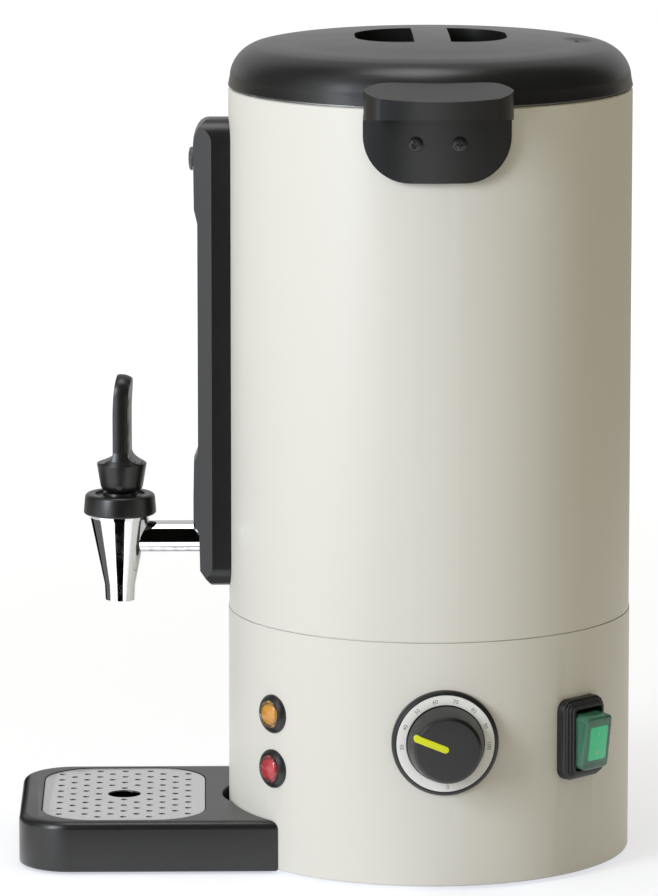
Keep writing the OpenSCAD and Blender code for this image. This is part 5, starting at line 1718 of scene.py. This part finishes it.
@dataclass
class Stage:
    """The floor, the light and the camera."""

    camera_at: tuple[float, float, float] = (3603.5, -125.8, 851.9)
    forward: tuple[float, float, float] = (-0.98536, 0.01868, -0.16948)
    right: tuple[float, float, float] = (0.01896, 0.99982, 0.0)
    lens: float = 256.9
    sensor: float = 36.0
    floor_size: float = 60.0
    floor_tone: float = 0.6
    floor_glow: Colour = (0.9, 0.925, 1.0)
    near_level: float = 0.75
    near_range: tuple[float, float] = (0.7, 1.6)
    pool_range: tuple[float, float] = (0.2, 2.2)
    pool_levels: tuple[float, float] = (0.6, 0.86)
    floor_bands: Bands = (
        (0.0, 0.4), (0.12, 0.1), (0.23, 0.15), (0.29, 1.2), (0.41, 1.2), (0.47, 1.4), (0.51, 0.9),
        (0.56, 0.08), (0.9, 0.08), (1.0, 0.4))
    world_tone: Colour = (0.395, 0.355, 0.25)
    world_bands: Bands = (
        (0.0, 0.62), (0.11, 0.62), (0.15, 0.15), (0.24, 0.15), (0.29, 0.9), (0.41, 0.9), (0.45, 0.5),
        (0.52, 0.35), (0.57, 0.08), (0.84, 0.08), (0.89, 0.62), (1.0, 0.62))
    aim: tuple[float, float, float] = (0.0, 0.0, 0.22)

    def camera(self) -> None:
        """Places the camera."""
        data = bpy.data.cameras.new("camera")
        data.sensor_width = self.sensor
        data.lens = self.lens
        data.clip_end = 100.0
        camera = bpy.data.objects.new("camera", data)
        ahead, side = Vector(self.forward).normalized(), Vector(self.right).normalized()
        up = side.cross(ahead)
        turn = Matrix((side, up, -ahead)).transposed().to_4x4()
        camera.matrix_world = Matrix.Translation(Vector(self.camera_at) * MM) @ turn
        bpy.context.scene.collection.objects.link(camera)
        bpy.context.scene.camera = camera

    @staticmethod
    def fade(graph: Graph, value: bpy.types.NodeSocket, span: tuple[float, float],
             levels: tuple[float, float]) -> bpy.types.NodeSocket:
        """A level that changes smoothly with a value.

        Args:
            graph: the shader's graph.
            value: the socket with the value.
            span: the values where the change starts and ends.
            levels: the levels before and after it.

        Returns:
            The socket with the level.
        """
        ease = graph.add("ShaderNodeMapRange", interpolation_type="SMOOTHSTEP")
        for title, number in zip(("From Min", "From Max", "To Min", "To Max"), (*span, *levels)):
            ease.inputs[title].default_value = number
        graph.join(value, ease.inputs["Value"])
        return ease.outputs["Result"]

    @staticmethod
    def sweep(graph: Graph, place: bpy.types.NodeSocket, stops: Bands) -> bpy.types.NodeSocket:
        """A level that changes with the direction round the urn.

        Args:
            graph: the shader's graph.
            place: the coordinates.
            stops: pairs of a direction, from 0 behind the urn over 0.5 in front of it to 1, and a level.

        Returns:
            The socket with the level.
        """
        turn = graph.add("ShaderNodeTexGradient", gradient_type="RADIAL")
        graph.join(place, turn.inputs["Vector"])
        bands = graph.add("ShaderNodeValToRGB")
        bands.color_ramp.interpolation = "EASE"
        ramp = bands.color_ramp.elements
        while len(ramp) < len(stops):
            ramp.new(0.5)
        for element, (spot, level) in zip(ramp, stops):
            element.position = spot
            element.color = (level, level, level, 1.0)
        graph.join(turn.outputs["Fac"], bands.inputs["Fac"])
        return bands.outputs["Color"]

    def floor(self) -> None:
        """Lays a pale floor that is white to the camera and keeps the urn's shadow."""
        form = bmesh.new()
        bmesh.ops.create_grid(form, x_segments=1, y_segments=1, size=self.floor_size / 2)
        mesh = bpy.data.meshes.new("floor")
        form.to_mesh(mesh)
        form.free()
        floor = bpy.data.objects.new("floor", mesh)
        bpy.context.scene.collection.objects.link(floor)
        material = bpy.data.materials.new("finish_floor")
        material.use_nodes = True
        graph = Graph(material.node_tree)
        shader = material.node_tree.nodes["Principled BSDF"]
        shader.inputs["Base Color"].default_value = (self.floor_tone,) * 3 + (1.0,)
        shader.inputs["Roughness"].default_value = 1.0
        shader.inputs["Specular IOR Level"].default_value = 0.0
        path = graph.add("ShaderNodeLightPath")
        seen = graph.math("MAXIMUM", path.outputs["Is Camera Ray"], path.outputs["Is Transmission Ray"])
        place = graph.add("ShaderNodeTexCoord").outputs["Object"]
        away = graph.add("ShaderNodeVectorMath", operation="LENGTH")
        graph.join(place, away.inputs[0])
        distance = away.outputs["Value"]
        near = self.fade(graph, distance, self.near_range, (1.0, 0.0))
        far = self.sweep(graph, place, self.floor_bands)
        level = graph.math("MAXIMUM", graph.math("MULTIPLY", near, self.near_level), far)
        mirrored = graph.math("MULTIPLY", path.outputs["Is Glossy Ray"], level)
        pool = graph.math("MULTIPLY", seen, self.fade(graph, distance, self.pool_range, self.pool_levels))
        shader.inputs["Emission Color"].default_value = (*self.floor_glow, 1.0)
        graph.join(graph.math("MAXIMUM", pool, mirrored), shader.inputs["Emission Strength"])
        mesh.materials.append(material)
        floor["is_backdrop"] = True

    def world(self) -> None:
        """Sets the surroundings: white to the camera, and a studio with dark gaps to polished metal."""
        world = bpy.data.worlds.new("studio")
        bpy.context.scene.world = world
        world.use_nodes = True
        graph = Graph(world.node_tree)
        shader = world.node_tree.nodes["Background"]
        path = graph.add("ShaderNodeLightPath")
        place = graph.add("ShaderNodeTexCoord").outputs["Generated"]
        bands = self.sweep(graph, place, self.world_bands)
        glossy = graph.add("ShaderNodeMix", data_type="RGBA")
        glossy.inputs["A"].default_value = (*self.world_tone, 1.0)
        graph.join(path.outputs["Is Glossy Ray"], glossy.inputs["Factor"])
        graph.join(bands, glossy.inputs["B"])
        shown = graph.add("ShaderNodeMix", data_type="RGBA")
        shown.inputs["B"].default_value = (1.0, 1.0, 1.0, 1.0)
        seen = graph.math("MAXIMUM", path.outputs["Is Camera Ray"], path.outputs["Is Transmission Ray"])
        graph.join(seen, shown.inputs["Factor"])
        graph.join(glossy.outputs["Result"], shown.inputs["A"])
        graph.join(shown.outputs["Result"], shader.inputs["Color"])

    def lamp(self, name: str, at: tuple[float, float, float], size: tuple[float, float], power: float,
             colour: Colour = (1.0, 1.0, 1.0)) -> None:
        """Hangs a softbox that faces the urn.

        Args:
            name: the lamp's name.
            at: its place, in metres.
            size: its width and height, in metres.
            power: its power, in watts.
            colour: its colour.
        """
        data = bpy.data.lights.new(name, "AREA")
        data.shape = "RECTANGLE"
        data.size, data.size_y = size
        data.energy = power
        data.color = colour
        lamp = bpy.data.objects.new(name, data)
        aim = Vector(self.aim) - Vector(at)
        lamp.matrix_world = Matrix.Translation(at) @ aim.to_track_quat("-Z", "Y").to_matrix().to_4x4()
        lamp.visible_camera = False
        bpy.context.scene.collection.objects.link(lamp)

    def card(self, name: str, ends: tuple[tuple[float, float], tuple[float, float]], height: float,
             level: float = 0.0) -> None:
        """Stands a dark card on the floor that only polished surfaces see.

        Args:
            name: the card's name.
            ends: the places of its two sides on the floor, in metres.
            height: its height, in metres.
            level: how bright it looks in a mirror.
        """
        form = bmesh.new()
        low = [form.verts.new((x, y, 0.0)) for x, y in ends]
        edge = form.edges.new(low)
        grown = bmesh.ops.extrude_edge_only(form, edges=[edge])["geom"]
        top = [g for g in grown if isinstance(g, bmesh.types.BMVert)]
        bmesh.ops.translate(form, vec=(0, 0, height), verts=top)
        mesh = bpy.data.meshes.new(name)
        form.to_mesh(mesh)
        form.free()
        card = bpy.data.objects.new(name, mesh)
        bpy.context.scene.collection.objects.link(card)
        material = bpy.data.materials.new("finish_card")
        material.use_nodes = True
        shader = material.node_tree.nodes["Principled BSDF"]
        shader.inputs["Base Color"].default_value = (0.005, 0.005, 0.005, 1.0)
        shader.inputs["Specular IOR Level"].default_value = 0.0
        shader.inputs["Emission Color"].default_value = (1.0, 1.0, 1.0, 1.0)
        shader.inputs["Emission Strength"].default_value = level
        mesh.materials.append(material)
        card.visible_camera = False
        card.visible_diffuse = False
        card.visible_transmission = False
        card.visible_shadow = False
        card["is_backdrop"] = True

    def build(self) -> None:
        """Sets the whole stage."""
        self.camera()
        self.floor()
        self.world()
        self.lamp("key", (2.15, -2.2, 1.3), (0.9, 2.0), 72.0, (0.86, 0.92, 1.0))
        self.lamp("top", (0.15, -0.15, 2.3), (0.9, 0.9), 10.0)
        self.card("front_card", ((0.30, -0.31), (0.30, -0.07)), 0.85)
        self.card("back_card", ((-0.21, -0.43), (-0.31, -0.26)), 0.13)
        self.card("left_card", ((0.03, -0.51), (-0.21, -0.43)), 0.13, 0.14)
        bpy.context.scene.view_settings.view_transform = "Standard"


def corners() -> list[list[float]]:
    """The shown object's lowest and highest corners as plain numbers."""
    return [[float(value) for value in corner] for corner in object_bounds()]


def main() -> None:
    """Builds the stage and every sub-assembly."""
    logging.basicConfig(level=logging.INFO, format="%(name)s: %(message)s")
    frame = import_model()
    slots = {entry["node"]: entry["material_slot"] for entry in frame["record"]["subparts"]}
    shop = Workshop(frame["nodes"], slots)
    shop.mix_finishes()
    shop.dress_solids()
    Stage().build()
    for part in (Casing(), Lid(), SideHandles(), GaugeColumn(), Tap(), DripTray(), Dial(), Lamps(),
                 PowerSwitch(), Underside(), Vessel()):
        LOG.info("building %s", type(part).__name__)
        part.build(shop)


if __name__ == "__main__":
    main()
